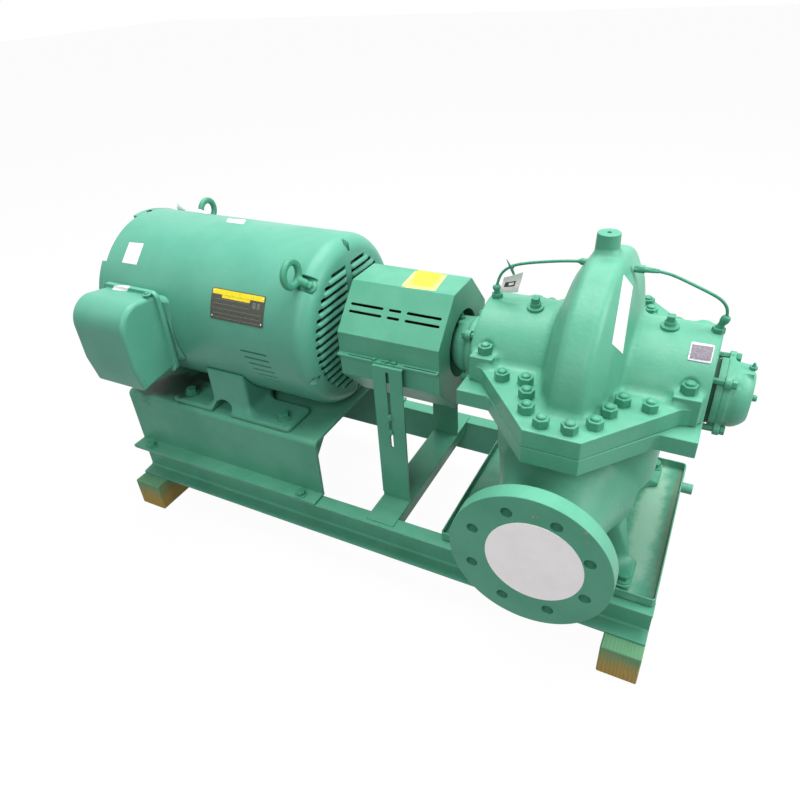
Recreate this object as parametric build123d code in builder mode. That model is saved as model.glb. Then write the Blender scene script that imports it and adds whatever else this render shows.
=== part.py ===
"""Split case pump set: pump, motor, coupling guard and base on two timber skids.

Millimetres, +Z up, +X along the shaft from the motor to the pump's outboard end.
The origin is on the floor, under the centre of the whole set.
The pump's suction flange looks toward -Y and its discharge flange toward +Y.
"""
from build123d import *
import math
import os

# Base: two channels lie on two timbers, with their open sides outward
timber_w = 88.0
timber_h = 89.0
timber_length = 604.0
timber_edge = 2.5
rail_depth = 101.6
rail_flange = 40.2
rail_web = 4.7
rail_toe_t = 5.4
rail_root_t = 9.6
rail_root_r = 7.0
rail_length = 1474.0
rail_gap = 447.0
rail_x0 = -785.0
cross_width = 76.2
cross_depth = 35.8
cross_web = 4.6
cross_edge = 3.0

# Pan under the pump, with its drain
pan_length = 489.0
pan_width = 486.0
pan_lip = 25.0
pan_sheet = 3.0
pan_bend = 12.0
pan_shift = 12.0
drain_r = 13.3
drain_wall = 3.5
drain_out = 26.0
drain_y = 157.0

# Clearance between a piece and the round body it sits on
seat_gap = 0.3

# Shaft line and pump centre
shaft_over_rail = 403.4
pump_x = 455.0

# Motor on its bent plate pedestal
pedestal_plate = 8.0
pedestal_length = 638.0
pedestal_width = 452.0
pedestal_foot = 41.0
pedestal_bend = 14.0
pedestal_over = 5.0
gusset_side = 60.0
gusset_t = 6.0
gusset_in = 10.0
seat_bolt_in = 52.0
seat_bolt_side = 25.4
seat_bolt_r = 10.5
seat_bolt_t = 9.0
seat_washer_r = 16.0
seat_washer_t = 2.5
motor_r = 216.5
motor_length = 640.0
motor_drive_x = -140.0
motor_over_seat = 12.5
cover_length = 48.0
drive_edge_r = 38.0
rear_edge_r = 8.0
cover_rim = 42.0
grille_r = 172.0
louvre_pitch = 20.0
louvre_height = 10.0
louvre_bar = 24.0
louvre_skin = 6.0
notch_angles = (-3.0, 110.0, 177.0, 290.0)
notch_size = 15.0
notch_depth = 36.0
recess_lean = 42.0
recess_in = 18.0
recess_depth = 18.5
recess_w = 38.0
recess_corner = 8.0
hood_out = 11.0
hood_spans = ((50.0, 130.0), (-30.0, 8.0), (-130.0, -60.0))
foot_hole_span = 311.0
foot_mid_x = -425.0
foot_pad_t = 14.0
foot_length = 392.0
foot_width = 104.0
foot_inset = 9.0
foot_hole_in = 38.0
foot_web = 122.0
foot_web_in = 19.0
foot_web_width = 108.0
foot_web_top = 128.0
foot_arch_r = 32.0
foot_arch_low = 12.0
foot_arch_shift = 24.0
foot_slot_w = 17.0
foot_slot_l = 26.0
body_slot_x = -293.0
body_slot_l = 78.0
body_slot_w = 5.0
body_slot_step = 4.5
body_slots = 6
eye_outer_r = 36.0
eye_hole_r = 19.0
eye_thick = 14.0
eye_edge = 4.0
eye_rise = 40.0
far_eye_lean = 50.0
eye_back = 21.0
eye_neck_r = 10.0
eye_washer_r = 16.0
eye_washer_t = 5.0

# Terminal box on the near side of the motor
box_length = 172.0
box_x = -631.5
box_bottom = -102.0
box_top = 116.0
box_front_y = 358.0
box_rim_y = 240.0
box_rim_t = 12.0
box_rim_out = 10.0
box_dome_r = 62.0
box_edge_r = 12.0
box_chin = 70.0
box_lean = 14.0
box_spigot = 60.0

# Coupling guard, an eight-sided tunnel of sheet
guard_x0 = -98.5
guard_length = 255.0
guard_half = 139.0
guard_flat = 50.6
guard_top = 142.0
guard_shoulder = 49.0
guard_split = -4.0
guard_lower_side = -62.0
guard_sheet = 2.5
guard_flange = 13.0
guard_slot_w = 6.0
guard_slot_l = 84.0
guard_slot_mid_l = 31.0
guard_slot_x = 71.5
guard_slot_from = 57.0
guard_slot_step = 18.0
guard_hole_gap = 12.0
guard_bolt_x = (-2.0, 30.0, 49.0)
guard_bolt_r = 5.5
guard_bolt_t = 5.0
leg_thick = 3.0
leg_width = 76.2
leg_x = 36.0
leg_foot_y = 253.0
leg_y = 160.0
leg_end_gap = 16.0
leg_lap_z = -120.0
leg_slot_top = -19.0
leg_slot_end = -235.0
leg_slot_w = 8.0
leg_bolts = (-143.0, -186.0)
leg_bolt_af = 13.0
leg_bolt_t = 6.0

# Coupling and shafts
motor_shaft_r = 30.0
pump_shaft_r = 24.0
hub_r = 78.0
hub_length = 62.0
hub_gap = 44.0
hub_inset = 8.0
sleeve_r = 92.0

# Pump casing
flange_face_y = 411.0
flange_drop = 197.6
flange_r = 158.75
flange_t = 36.5
bolt_circle = 241.3
bolt_hole = 22.2
bolt_count = 8
neck_r = 104.0
neck_flare_r = 150.0
neck_flare_y = 150.0
neck_hollow = 14.0
outlet_r = 139.7
outlet_t = 33.3
outlet_circle = 215.9
outlet_neck_r = 86.0
cover_r = 95.0
cover_shift = (10.6, 7.7)
outlet_cover_r = 80.0
cover_t = 2.0
upper_flange_t = 38.0
lower_flange_t = 36.3
nose_x = 52.8
nose_y = 322.4
shoulder_x = 195.0
shoulder_y = 152.0
casing_end_x = 236.0
ear_y = 190.0
ear_x = 165.0
cheek_r = 130.0
crown_r = 260.0
crown_tip_w = 24.0
crown_mid_w = 52.0
crown_mid_r = 210.0
crown_root_w = 76.0
crown_base_w = 95.0
crown_right = 11.0
crown_edge_r = 20.0
boss_x = 201.0
boss_y = 112.0
boss_w = 50.0
boss_l = 66.0
boss_top = 58.0
vent_r = 22.0
vent_top = 298.0
vent_hole_r = 3.5
chamber_x = 171.0
chamber_y = 176.0
chamber_r = 85.0
chamber_low = 168.0
hip_x = 138.0
hip_z = 205.5
waist_x = 124.5
waist_z = 257.0
root_x = 161.0
root_rise = 15.4
pump_foot_x = 178.0
pump_foot_y = 228.0
pump_foot_t = 18.0
pump_foot_r = 16.0
pump_hole_x = 159.0
pump_hole_y = 205.0
cast_boss = ((-143.0, -22.0), (199.0, -24.0))
cast_boss_r = 11.0
cast_boss_t = 5.0

# Fasteners
stud_r = 9.5
nut_af = 28.6
nut_t = 17.5
stud_out = 4.0
stud_places = [(143.0, 174.6), (94.0, 174.4), (78.0, 218.2), (63.5, 265.4), (26.0, 296.4)]
pad_stud = (200.0, 120.0)
spot_r = 19.0
foot_washer_r = 19.0
foot_washer_t = 3.0
foot_nut_r = 12.3
foot_nut_t = 13.0

# Bearing housings
gland_r = 54.0
bearing_x0 = 257.0
bearing_flange_r = 69.0
bearing_r = 65.0
bearing_taper_x = 285.0
bearing_round_x = 301.0
bearing_round_r = 57.0
bearing_end_x = 311.0
bearing_end_r = 46.0
lug_t = 13.0
lug_r = 12.0
lug_pitch_r = 76.0
lug_head_r = 8.5
lug_head_t = 9.0
lug_stud_r = 6.0
grease_pad_l = 34.0
grease_pad_w = 40.0
grease_in = 6.0
grease_top = 63.0
grease_x = 301.0
nipple_r = 6.5
nipple_base = 6.0
nipple_tip_r = 4.0
nipple_tip = 8.0
nipple_taper = 12.0
end_cap_r = 6.5
end_cap_t = 11.0

# Small fittings
plug_left_x = -127.0
plug_left_lean = 9.0
plug_right_x = 139.0
plug_right_lean = 5.0
plug_collar_r = 18.0
plug_collar_t = 5.0
plug_body_r = 11.0
plug_body_t = 8.0
plug_head = 15.0
plug_head_t = 13.0
flush_left_x = 219.0
flush_right_x = 225.0
flush_nut = 22.0
flush_base = 9.0
elbow_r = 9.0
elbow_left = 19.0
elbow_right = 27.0
elbow_left_lean = 8.0
elbow_right_lean = 21.0
flush_level = 234.0
flush_r = 3.0
union_r = 8.0
union_left = 53.0
union_right = 101.0
tag_x = 205.0
tag_lean = 29.0
tag_w = 41.0
tag_t = 1.2
tag_corner = 2.5
name_x = -334.0
name_lean = 64.0
name_w = 157.0
name_h = 74.0
name_t = 1.2
name_corner = 4.0
name_sag = 14.0

shaft_z = timber_h + rail_depth + shaft_over_rail
rail_top = timber_h + rail_depth
flange_z = shaft_z - flange_drop
motor_rear_x = motor_drive_x - motor_length
pedestal_top = shaft_z - motor_r - motor_over_seat
foot_y_out = pedestal_width / 2 - foot_inset
foot_hole_y = foot_y_out - foot_hole_in
foot_web_y = pedestal_width / 2 - foot_inset - foot_web_in
pan_x = pump_x - pan_shift
recess_r = motor_r - recess_depth
eye_radius = motor_r + eye_rise
suction = (flange_r, flange_t, bolt_circle, neck_r)
discharge = (outlet_r, outlet_t, outlet_circle, outlet_neck_r)


def radial_plane(x, lean, radius):
    """A plane tangent to a cylinder about the shaft, leaned toward -Y by so many degrees."""
    up = Vector(0, -math.sin(math.radians(lean)), math.cos(math.radians(lean)))
    return Plane(origin=Vector(x, 0, shaft_z) + up * radius, x_dir=(1, 0, 0), z_dir=up)


def channel(depth, flange, web, toe, root, root_r, length):
    """A rolled channel along X: web on the XZ plane, flanges toward -Y, foot at z 0."""
    with BuildPart() as bar:
        with BuildSketch(Plane.YZ):
            with BuildLine():
                Polyline(
                    (0, 0), (-flange, 0), (-flange, toe), (-web, root),
                    (-web, depth - root), (-flange, depth - toe), (-flange, depth), (0, depth),
                    close=True,
                )
            make_face()
        extrude(amount=length)
        inner = bar.edges().filter_by(Axis.X).filter_by_position(Axis.Y, -web - 0.1, -web + 0.1)
        fillet(inner, root_r)
    return bar.part


def build_rails():
    near = channel(rail_depth, rail_flange, rail_web, rail_toe_t, rail_root_t, rail_root_r, rail_length)
    front = near.moved(Location((rail_x0, -rail_gap / 2, timber_h)))
    rear = front.mirror(Plane.XZ)
    return front, rear


def build_cross():
    """The channel under the guard's legs, web upward, between the rails' webs."""
    with BuildPart() as bar:
        with BuildSketch(Plane.XZ.offset(-rail_gap / 2)):
            with Locations((leg_x, rail_top)):
                Rectangle(cross_width, cross_depth, align=(Align.CENTER, Align.MAX))
            with Locations((leg_x, rail_top - cross_web)):
                Rectangle(cross_width - 2 * cross_web, cross_depth, align=(Align.CENTER, Align.MAX),
                          mode=Mode.SUBTRACT)
        extrude(amount=rail_gap)
        fillet(bar.edges().filter_by(Axis.Y).group_by(Axis.Z)[-1], cross_edge)
    return bar.part


def build_timber(x):
    with BuildPart() as beam:
        with Locations((x, 0, timber_h / 2)):
            Box(timber_w, timber_length, timber_h)
        chamfer(beam.edges(), timber_edge)
    return beam.part


def build_pan():
    """A shallow tray of sheet with a hole for the drain in its outboard wall."""
    with BuildPart() as pan:
        with Locations((pan_x, 0, rail_top)):
            Box(pan_length, pan_width, pan_lip, align=(Align.CENTER, Align.CENTER, Align.MIN))
        chamfer(pan.edges().filter_by(Axis.Z), pan_bend / 2)
        fillet(pan.faces().sort_by(Axis.Z)[0].edges(), pan_bend / 2)
        offset(amount=-pan_sheet, openings=pan.faces().sort_by(Axis.Z)[-1])
        with BuildSketch(Plane.YZ.offset(pan_x + pan_length / 2)):
            with Locations((drain_y, rail_top + drain_r)):
                Circle(drain_r - drain_wall)
        extrude(amount=-3 * pan_sheet, mode=Mode.SUBTRACT)
    return pan.part


def build_drain():
    with BuildPart() as nipple:
        with BuildSketch(Plane.YZ.offset(pan_x + pan_length / 2)):
            with Locations((drain_y, rail_top + drain_r)):
                Circle(drain_r)
                Circle(drain_r - drain_wall, mode=Mode.SUBTRACT)
        extrude(amount=drain_out)
    return nipple.part


def build_pedestal():
    """A bent plate: level top, two walls, feet turned out on the rails, a gusset in each corner."""
    half = pedestal_width / 2
    out = half + pedestal_foot
    t = pedestal_plate
    with BuildPart() as seat:
        with BuildSketch(Plane.YZ.offset(motor_rear_x - pedestal_over)):
            with BuildLine():
                Polyline(
                    (-out, rail_top), (-half + t, rail_top), (-half + t, pedestal_top - t),
                    (half - t, pedestal_top - t), (half - t, rail_top), (out, rail_top),
                    (out, rail_top + t), (half, rail_top + t), (half, pedestal_top),
                    (-half, pedestal_top), (-half, rail_top + t), (-out, rail_top + t),
                    close=True,
                )
            make_face()
        extrude(amount=pedestal_length)
        fillet(seat.edges().filter_by(Axis.X).group_by(Axis.Z)[-1], pedestal_bend)
        start = motor_rear_x - pedestal_over
        for x in (start + gusset_in, start + pedestal_length - gusset_in - gusset_t):
            with BuildSketch(Plane.YZ.offset(x)):
                for side in (-1, 1):
                    with BuildLine():
                        Polyline(
                            (side * (half - t), pedestal_top - t),
                            (side * (half - t - gusset_side), pedestal_top - t),
                            (side * (half - t), pedestal_top - t - gusset_side), close=True,
                        )
                    make_face()
            extrude(amount=gusset_t)
    return seat.part


def build_pedestal_bolts():
    with BuildPart() as bolts:
        y = pedestal_width / 2 + seat_bolt_side
        ends = (motor_rear_x + seat_bolt_in, motor_rear_x + pedestal_length - seat_bolt_in - pedestal_over)
        places = [(x, s * y, rail_top + pedestal_plate) for x in ends for s in (-1, 1)]
        with Locations(*places):
            Cylinder(seat_washer_r, seat_washer_t, align=(Align.CENTER, Align.CENTER, Align.MIN))
        for place in places:
            with BuildSketch(Plane.XY.offset(place[2] + seat_washer_t)):
                with Locations((place[0], place[1])):
                    RegularPolygon(seat_bolt_r, 6, major_radius=False)
            extrude(amount=seat_bolt_t)
    return bolts.part


def build_motor_body():
    x0 = motor_rear_x + cover_length
    x1 = motor_drive_x - cover_length
    with BuildPart() as body:
        with BuildSketch(Plane.YZ.offset(x0)):
            with Locations((0, shaft_z)):
                Circle(motor_r)
        extrude(amount=x1 - x0)
        for side in (-1, 1):
            for row in range(body_slots):
                angle = -2 - row * body_slot_step
                plane = Plane(
                    origin=(body_slot_x + row * body_slot_w, side * motor_r * math.cos(math.radians(angle)),
                            shaft_z + motor_r * math.sin(math.radians(angle))),
                    x_dir=(1, 0, 0),
                    z_dir=(0, side * math.cos(math.radians(angle)), math.sin(math.radians(angle))),
                )
                with BuildSketch(plane):
                    SlotOverall(body_slot_l - row * body_slot_w, body_slot_w)
                extrude(amount=-2 * body_slot_w, mode=Mode.SUBTRACT)
    return body.part


def build_cover(direction):
    """A louvred end cover, its open side toward the motor's middle."""
    outer = motor_drive_x if direction > 0 else motor_rear_x
    inner = outer - direction * cover_length
    inside = outer - direction * louvre_skin
    with BuildPart() as cover:
        with BuildSketch(Plane.XZ):
            with BuildLine():
                Polyline((inner, shaft_z), (outer, shaft_z), (outer, shaft_z + motor_r),
                         (inner, shaft_z + motor_r), close=True)
            make_face()
            corner = vertices().sort_by(Axis.Y)[-2:].sort_by(Axis.X)[-1 if direction > 0 else 0]
            fillet(corner, drive_edge_r if direction > 0 else rear_edge_r)
        revolve(axis=Axis((0, 0, shaft_z), (1, 0, 0)))
        with BuildSketch(Plane.YZ.offset(inner)):
            with Locations((0, shaft_z)):
                Circle(motor_r - cover_rim)
        extrude(amount=inside - inner, mode=Mode.SUBTRACT)
        rows = int(2 * grille_r / louvre_pitch) - 1
        with BuildSketch(Plane.YZ.offset(inside)):
            for row in range(rows):
                level = (row - (rows - 1) / 2) * louvre_pitch
                reach = math.sqrt(grille_r ** 2 - (abs(level) + louvre_height / 2) ** 2)
                width = reach - louvre_bar / 2
                for side in (-1, 1):
                    with Locations((side * (louvre_bar / 2 + width / 2), shaft_z + level)):
                        Rectangle(width, louvre_height)
        extrude(amount=direction * louvre_skin, mode=Mode.SUBTRACT)
        for angle in notch_angles:
            with BuildSketch(radial_plane(outer - direction * notch_size / 2, angle, motor_r - notch_depth)):
                Rectangle(notch_size, notch_size, rotation=45)
            extrude(amount=2 * notch_depth, mode=Mode.SUBTRACT)
        lean = recess_lean if direction > 0 else -far_eye_lean
        with BuildSketch(radial_plane(outer - direction * recess_in, lean, recess_r)):
            RectangleRounded(2 * recess_in + recess_w / 2, recess_w, recess_corner)
        extrude(amount=motor_r, mode=Mode.SUBTRACT)
        if direction < 0:
            add(rear_hoods())
    return cover.part


def rear_hoods():
    """The thicker stretches of the rear cover's rim."""
    with BuildPart() as hoods:
        with BuildSketch(Plane.YZ.offset(motor_rear_x - hood_out)):
            for start, end in hood_spans:
                tips = [
                    (-radius * math.sin(math.radians(angle)), shaft_z + radius * math.cos(math.radians(angle)))
                    for radius in (motor_r, motor_r - cover_rim) for angle in (start, (start + end) / 2, end)
                ]
                with BuildLine():
                    ThreePointArc(tips[0], tips[1], tips[2])
                    Line(tips[2], tips[5])
                    ThreePointArc(tips[5], tips[4], tips[3])
                    Line(tips[3], tips[0])
                make_face()
        extrude(amount=hood_out + louvre_skin)
    return hoods.part


def build_motor_foot(side):
    """One cast foot: a web up to the body, an arch under it and a bolted pad."""
    low = pedestal_top
    arch_x = foot_mid_x - foot_arch_shift
    arch_z = low + foot_pad_t - foot_arch_low
    with BuildPart() as foot:
        with BuildSketch(Plane.XY.offset(low)):
            with Locations((foot_mid_x, side * (foot_y_out - foot_width / 2))):
                RectangleRounded(foot_length, foot_width, foot_pad_t)
        extrude(amount=foot_pad_t)
        with BuildSketch(Plane.XY.offset(low)):
            with Locations((foot_mid_x, side * (foot_web_y - foot_web_width / 2))):
                RectangleRounded(foot_web, foot_web_width, foot_inset)
        extrude(amount=foot_web_top)
        with BuildSketch(Plane.YZ.offset(motor_rear_x)):
            with Locations((0, shaft_z)):
                Circle(motor_r + seat_gap)
        extrude(amount=motor_length, mode=Mode.SUBTRACT)
        with BuildSketch(Plane.XZ.offset(-side * foot_y_out)):
            with Locations((arch_x, low)):
                Rectangle(2 * foot_arch_r, 2 * (arch_z - low))
            with Locations((arch_x, arch_z)):
                Circle(foot_arch_r)
        extrude(amount=side * foot_width, mode=Mode.SUBTRACT)
        for end in (-1, 1):
            with BuildSketch(Plane.XY.offset(low)):
                with Locations((foot_mid_x + end * foot_hole_span / 2, side * foot_hole_y)):
                    SlotOverall(foot_slot_l, foot_slot_w)
            extrude(amount=foot_pad_t, mode=Mode.SUBTRACT)
    return foot.part


def build_eyes():
    """Two lifting eyes, each bolted in a recess of an end cover and leaning back over the body."""
    with BuildPart() as eyes:
        for direction, outer in ((1, motor_drive_x), (-1, motor_rear_x)):
            lean = recess_lean if direction > 0 else -far_eye_lean
            seat_x = outer - direction * recess_in
            ring_x = seat_x - direction * eye_back
            with BuildSketch(radial_plane(seat_x, lean, recess_r)):
                Circle(eye_washer_r)
            extrude(amount=eye_washer_t)
            with BuildSketch(radial_plane(seat_x, lean, recess_r + eye_washer_t)):
                RegularPolygon(lug_head_r, 6, major_radius=False)
            extrude(amount=lug_head_t)
            start = radial_plane(seat_x - direction * eye_neck_r / 2, lean, recess_r + eye_neck_r + eye_edge).origin
            middle = radial_plane(ring_x, lean, eye_radius).origin
            end = radial_plane(ring_x, lean, eye_radius - (eye_outer_r + eye_hole_r) / 2).origin
            with BuildSketch(Plane(origin=start, z_dir=end - start)):
                Circle(eye_neck_r)
            extrude(amount=(end - start).length)
            add(eye_ring(middle))
    return eyes.part


def eye_ring(middle):
    """The flat ring of a lifting eye, square to the shaft."""
    with BuildPart() as ring:
        with Locations(Location(Plane(origin=middle, x_dir=(0, 1, 0), z_dir=(1, 0, 0)))):
            Cylinder(eye_outer_r, eye_thick)
            Cylinder(eye_hole_r, eye_thick, mode=Mode.SUBTRACT)
        chamfer(ring.edges().filter_by(GeomType.CIRCLE), eye_edge)
    return ring.part


def build_terminal_box():
    front = -box_front_y
    rim = -box_rim_y
    low = shaft_z + box_bottom
    high = shaft_z + box_top
    with BuildPart() as box:
        with BuildSketch(Plane.YZ.offset(box_x - box_length / 2)):
            with BuildLine():
                Polyline((rim, low), (front + box_lean, low), (front, low + box_chin), (front, high),
                         (rim, high), close=True)
            make_face()
            fillet(vertices().sort_by(Axis.Y)[-2:].sort_by(Axis.X)[0], box_dome_r)
        extrude(amount=box_length)
        round_edges = box.faces().sort_by(Axis.X)[0].edges() + box.faces().sort_by(Axis.X)[-1].edges()
        round_edges = [e for e in round_edges if e.center().Y < rim - 2]
        fillet(round_edges, box_edge_r)
        with BuildSketch(Plane.XZ.offset(box_rim_y)):
            with Locations((box_x, (low + high) / 2)):
                RectangleRounded(box_length + 2 * box_rim_out, high - low + 2 * box_rim_out, 2 * box_rim_out)
        extrude(amount=-box_rim_t)
        with BuildSketch(Plane.XZ.offset(box_rim_y - box_rim_t)):
            with Locations((box_x, (low + high) / 2)):
                RectangleRounded(box_length - box_rim_out, high - low - box_rim_out, 2 * box_rim_out)
        extrude(amount=-box_spigot)
        with BuildSketch(Plane.YZ.offset(motor_rear_x)):
            with Locations((0, shaft_z)):
                Circle(motor_r + seat_gap)
        extrude(amount=motor_length, mode=Mode.SUBTRACT)
    return box.part


def octagon_half(half, flat, top, shoulder, split, sheet):
    """Points of an open sheet profile over the shaft, outer side then inner side."""
    slope = math.hypot(half - flat, top - shoulder)
    cut = sheet * (math.hypot(half - flat, top - shoulder) - (top - shoulder)) / (half - flat)
    drop = sheet * (slope - (half - flat)) / (top - shoulder)
    return [
        (-half, split), (-half, shoulder), (-flat, top), (flat, top), (half, shoulder), (half, split),
        (half - sheet, split), (half - sheet, shoulder - cut), (flat - drop, top - sheet),
        (drop - flat, top - sheet), (sheet - half, shoulder - cut), (sheet - half, split),
    ]


def build_guard_upper():
    points = octagon_half(guard_half, guard_flat, guard_top, guard_shoulder, guard_split, guard_sheet)
    with BuildPart() as hood:
        with BuildSketch(Plane.YZ.offset(guard_x0)):
            with BuildLine():
                Polyline(*[(y, shaft_z + z) for y, z in points], close=True)
            make_face()
        extrude(amount=guard_length)
        for side in (-1, 1):
            with Locations((guard_x0 + guard_length / 2, side * guard_half, shaft_z + guard_split)):
                Box(guard_length, 2 * guard_flange, guard_sheet,
                    align=(Align.CENTER, Align.CENTER, Align.MIN))
            with Locations((guard_x0 + guard_length / 2, side * (guard_half - guard_sheet), shaft_z + guard_split)):
                Box(guard_length + 1, 2 * guard_flange, guard_sheet,
                    align=(Align.CENTER, Align.MAX if side > 0 else Align.MIN, Align.MIN),
                    mode=Mode.SUBTRACT)
            along = Vector(0, side * (guard_half - guard_flat), guard_shoulder - guard_top).normalized()
            normal = Vector(0, side * (guard_top - guard_shoulder), guard_half - guard_flat).normalized()
            corner = Vector(guard_x0 + guard_length / 2, side * guard_flat, shaft_z + guard_top)
            for distance in (guard_slot_from, guard_slot_from + guard_slot_step):
                plane = Plane(origin=corner + along * distance, x_dir=(1, 0, 0), z_dir=normal)
                with BuildSketch(plane):
                    with Locations((-guard_slot_x, 0), (guard_slot_x, 0)):
                        SlotOverall(guard_slot_l, guard_slot_w)
                    SlotOverall(guard_slot_mid_l, guard_slot_w)
                extrude(amount=-3 * guard_sheet, both=True, mode=Mode.SUBTRACT)
    return hood.part


def build_guard_lower():
    drop = guard_lower_side
    points = octagon_half(guard_half, guard_flat, -drop + guard_top - guard_shoulder, -drop,
                          -guard_split, guard_sheet)
    with BuildPart() as tray:
        with BuildSketch(Plane.YZ.offset(guard_x0)):
            with BuildLine():
                Polyline(*[(y, shaft_z - z) for y, z in points], close=True)
            make_face()
        extrude(amount=guard_length)
        for side in (-1, 1):
            with Locations((guard_x0 + guard_length / 2, side * (guard_half - guard_sheet),
                            shaft_z + guard_split - guard_sheet)):
                Box(guard_length, guard_flange + guard_sheet, guard_sheet,
                    align=(Align.CENTER, Align.MIN if side > 0 else Align.MAX, Align.MIN))
    return tray.part


def build_guard_ends():
    """The two end plates inside the tunnel, each with a hole for the shaft or the bearing."""
    upper = octagon_half(guard_half, guard_flat, guard_top, guard_shoulder, guard_split, guard_sheet)[6:]
    lower = octagon_half(guard_half, guard_flat, guard_top - guard_shoulder - guard_lower_side,
                         -guard_lower_side, -guard_split, guard_sheet)[6:]
    ring = upper + [(y, -z) for y, z in reversed(lower[1:-1])]
    with BuildPart() as ends:
        far_x = guard_x0 + guard_length - guard_sheet
        for x, hole in ((guard_x0, motor_shaft_r + guard_hole_gap), (far_x, bearing_flange_r + guard_hole_gap)):
            with BuildSketch(Plane.YZ.offset(x)):
                with BuildLine():
                    Polyline(*[(y, shaft_z + z) for y, z in ring], close=True)
                make_face()
                with Locations((0, shaft_z)):
                    Circle(hole, mode=Mode.SUBTRACT)
            extrude(amount=guard_sheet)
    return ends.part


def build_leg(side):
    """Two slotted straps bolted flat together, from under the guard's joint to a foot on the rail."""
    out = side * leg_y
    middle = out - side * leg_thick
    inner = out - 2 * side * leg_thick
    reach = side * (guard_half + 1)
    foot = side * leg_foot_y
    top = shaft_z + guard_split - guard_sheet
    end = rail_top + leg_end_gap
    with BuildPart() as leg:
        with BuildSketch(Plane.YZ.offset(leg_x - leg_width / 2)):
            with BuildLine():
                Polyline((reach, top), (out, top), (out, end), (middle, end),
                         (middle, top - leg_thick), (reach, top - leg_thick), close=True)
            make_face()
            with BuildLine():
                Polyline((middle, shaft_z + leg_lap_z), (middle, rail_top + leg_thick),
                         (foot, rail_top + leg_thick), (foot, rail_top), (inner, rail_top),
                         (inner, shaft_z + leg_lap_z), close=True)
            make_face()
        extrude(amount=leg_width)
        with BuildSketch(Plane.XZ.offset(-out)):
            with Locations((leg_x, shaft_z + (leg_slot_top + leg_slot_end) / 2)):
                SlotOverall(leg_slot_top - leg_slot_end, leg_slot_w, rotation=90)
        extrude(amount=3 * leg_thick, both=True, mode=Mode.SUBTRACT)
        with BuildSketch(Plane.XZ.offset(-inner)):
            with Locations(*[(leg_x, shaft_z + level) for level in leg_bolts]):
                RegularPolygon(leg_bolt_af / 2, 6, major_radius=False)
        extrude(amount=-side * (2 * leg_thick + leg_bolt_t))
    return leg.part


def build_coupling():
    x0 = guard_x0 + hub_inset
    with BuildPart() as drive:
        with BuildSketch(Plane.YZ.offset(motor_drive_x)):
            with Locations((0, shaft_z)):
                Circle(motor_shaft_r)
        extrude(amount=x0 - motor_drive_x)
        with BuildSketch(Plane.YZ.offset(x0)):
            with Locations((0, shaft_z)):
                Circle(hub_r)
        extrude(amount=hub_length)
        with BuildSketch(Plane.YZ.offset(x0 + hub_length)):
            with Locations((0, shaft_z)):
                Circle(sleeve_r)
        extrude(amount=hub_gap)
        with BuildSketch(Plane.YZ.offset(x0 + hub_length + hub_gap)):
            with Locations((0, shaft_z)):
                Circle(hub_r)
        extrude(amount=hub_length)
        end = pump_x - bearing_end_x
        start = x0 + 2 * hub_length + hub_gap
        with BuildSketch(Plane.YZ.offset(start)):
            with Locations((0, shaft_z)):
                Circle(pump_shaft_r)
        extrude(amount=end - start)
    return drive.part


def half_outline(points):
    """Mirror a front half outline about both centre planes into one closed ring."""
    front = [(pump_x - x, -y) for x, y in points] + [(pump_x + x, -y) for x, y in reversed(points)]
    back = [(pump_x + x, y) for x, y in points] + [(pump_x - x, y) for x, y in reversed(points)]
    return front + back


def crown_sketch():
    """Half section of the volute rim, to be turned about the shaft."""
    with BuildSketch(Plane.XZ) as rim:
        with BuildLine():
            Polyline(
                (pump_x - crown_base_w, shaft_z), (pump_x - crown_root_w, shaft_z + cheek_r),
                (pump_x - crown_mid_w, shaft_z + crown_mid_r), (pump_x - crown_tip_w, shaft_z + crown_r),
                (pump_x + crown_tip_w + crown_right, shaft_z + crown_r),
                (pump_x + crown_mid_w + crown_right, shaft_z + crown_mid_r),
                (pump_x + crown_root_w + crown_right / 2, shaft_z + cheek_r), (pump_x + crown_base_w, shaft_z),
                close=True,
            )
        make_face()
        tips = vertices().filter_by_position(Axis.Y, shaft_z + crown_mid_r - 1, shaft_z + crown_r + 1)
        fillet(tips, crown_edge_r)
    return rim.sketch


def build_casing_upper():
    outline = [(casing_end_x - 10, shoulder_y - 12), (shoulder_x, shoulder_y), (nose_x, nose_y)]
    with BuildPart() as top:
        with BuildSketch(Plane.XY.offset(shaft_z)):
            with BuildLine():
                Polyline(*half_outline(outline), close=True)
            make_face()
        extrude(amount=upper_flange_t)
        add(crown_sketch())
        revolve(axis=Axis((0, 0, shaft_z), (1, 0, 0)))
        with BuildSketch(Plane.YZ.offset(pump_x - casing_end_x)):
            with Locations((0, shaft_z)):
                Circle(cheek_r)
        extrude(amount=2 * casing_end_x)
        for sx in (-1, 1):
            for sy in (-1, 1):
                with Locations((pump_x + sx * boss_x, sy * boss_y, shaft_z)):
                    Box(boss_w, boss_l, boss_top, align=(Align.CENTER, Align.CENTER, Align.MIN))
        with BuildSketch(Plane.XY.offset(shaft_z + boss_top)):
            with Locations(*[(pump_x + sx * pad_stud[0], sy * pad_stud[1]) for sx in (-1, 1) for sy in (-1, 1)]):
                Circle(spot_r)
        extrude(amount=2 * spot_r, mode=Mode.SUBTRACT)
        for x, lean in cast_boss:
            with BuildSketch(radial_plane(pump_x + x, lean, cheek_r - cast_boss_t)):
                Circle(cast_boss_r)
            extrude(amount=2 * cast_boss_t)
        with BuildSketch(Plane.XY.offset(shaft_z + vent_top)):
            with Locations((pump_x, 0)):
                Circle(vent_r)
        extrude(amount=crown_mid_r - vent_top, taper=-2)
        with Locations((pump_x, 0, shaft_z + vent_top)):
            Hole(vent_hole_r, vent_r)
        with Locations((pump_x, 0, shaft_z)):
            Box(3 * casing_end_x, 3 * nose_y, 3 * crown_r,
                align=(Align.CENTER, Align.CENTER, Align.MAX), mode=Mode.SUBTRACT)
    return top.part


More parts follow.
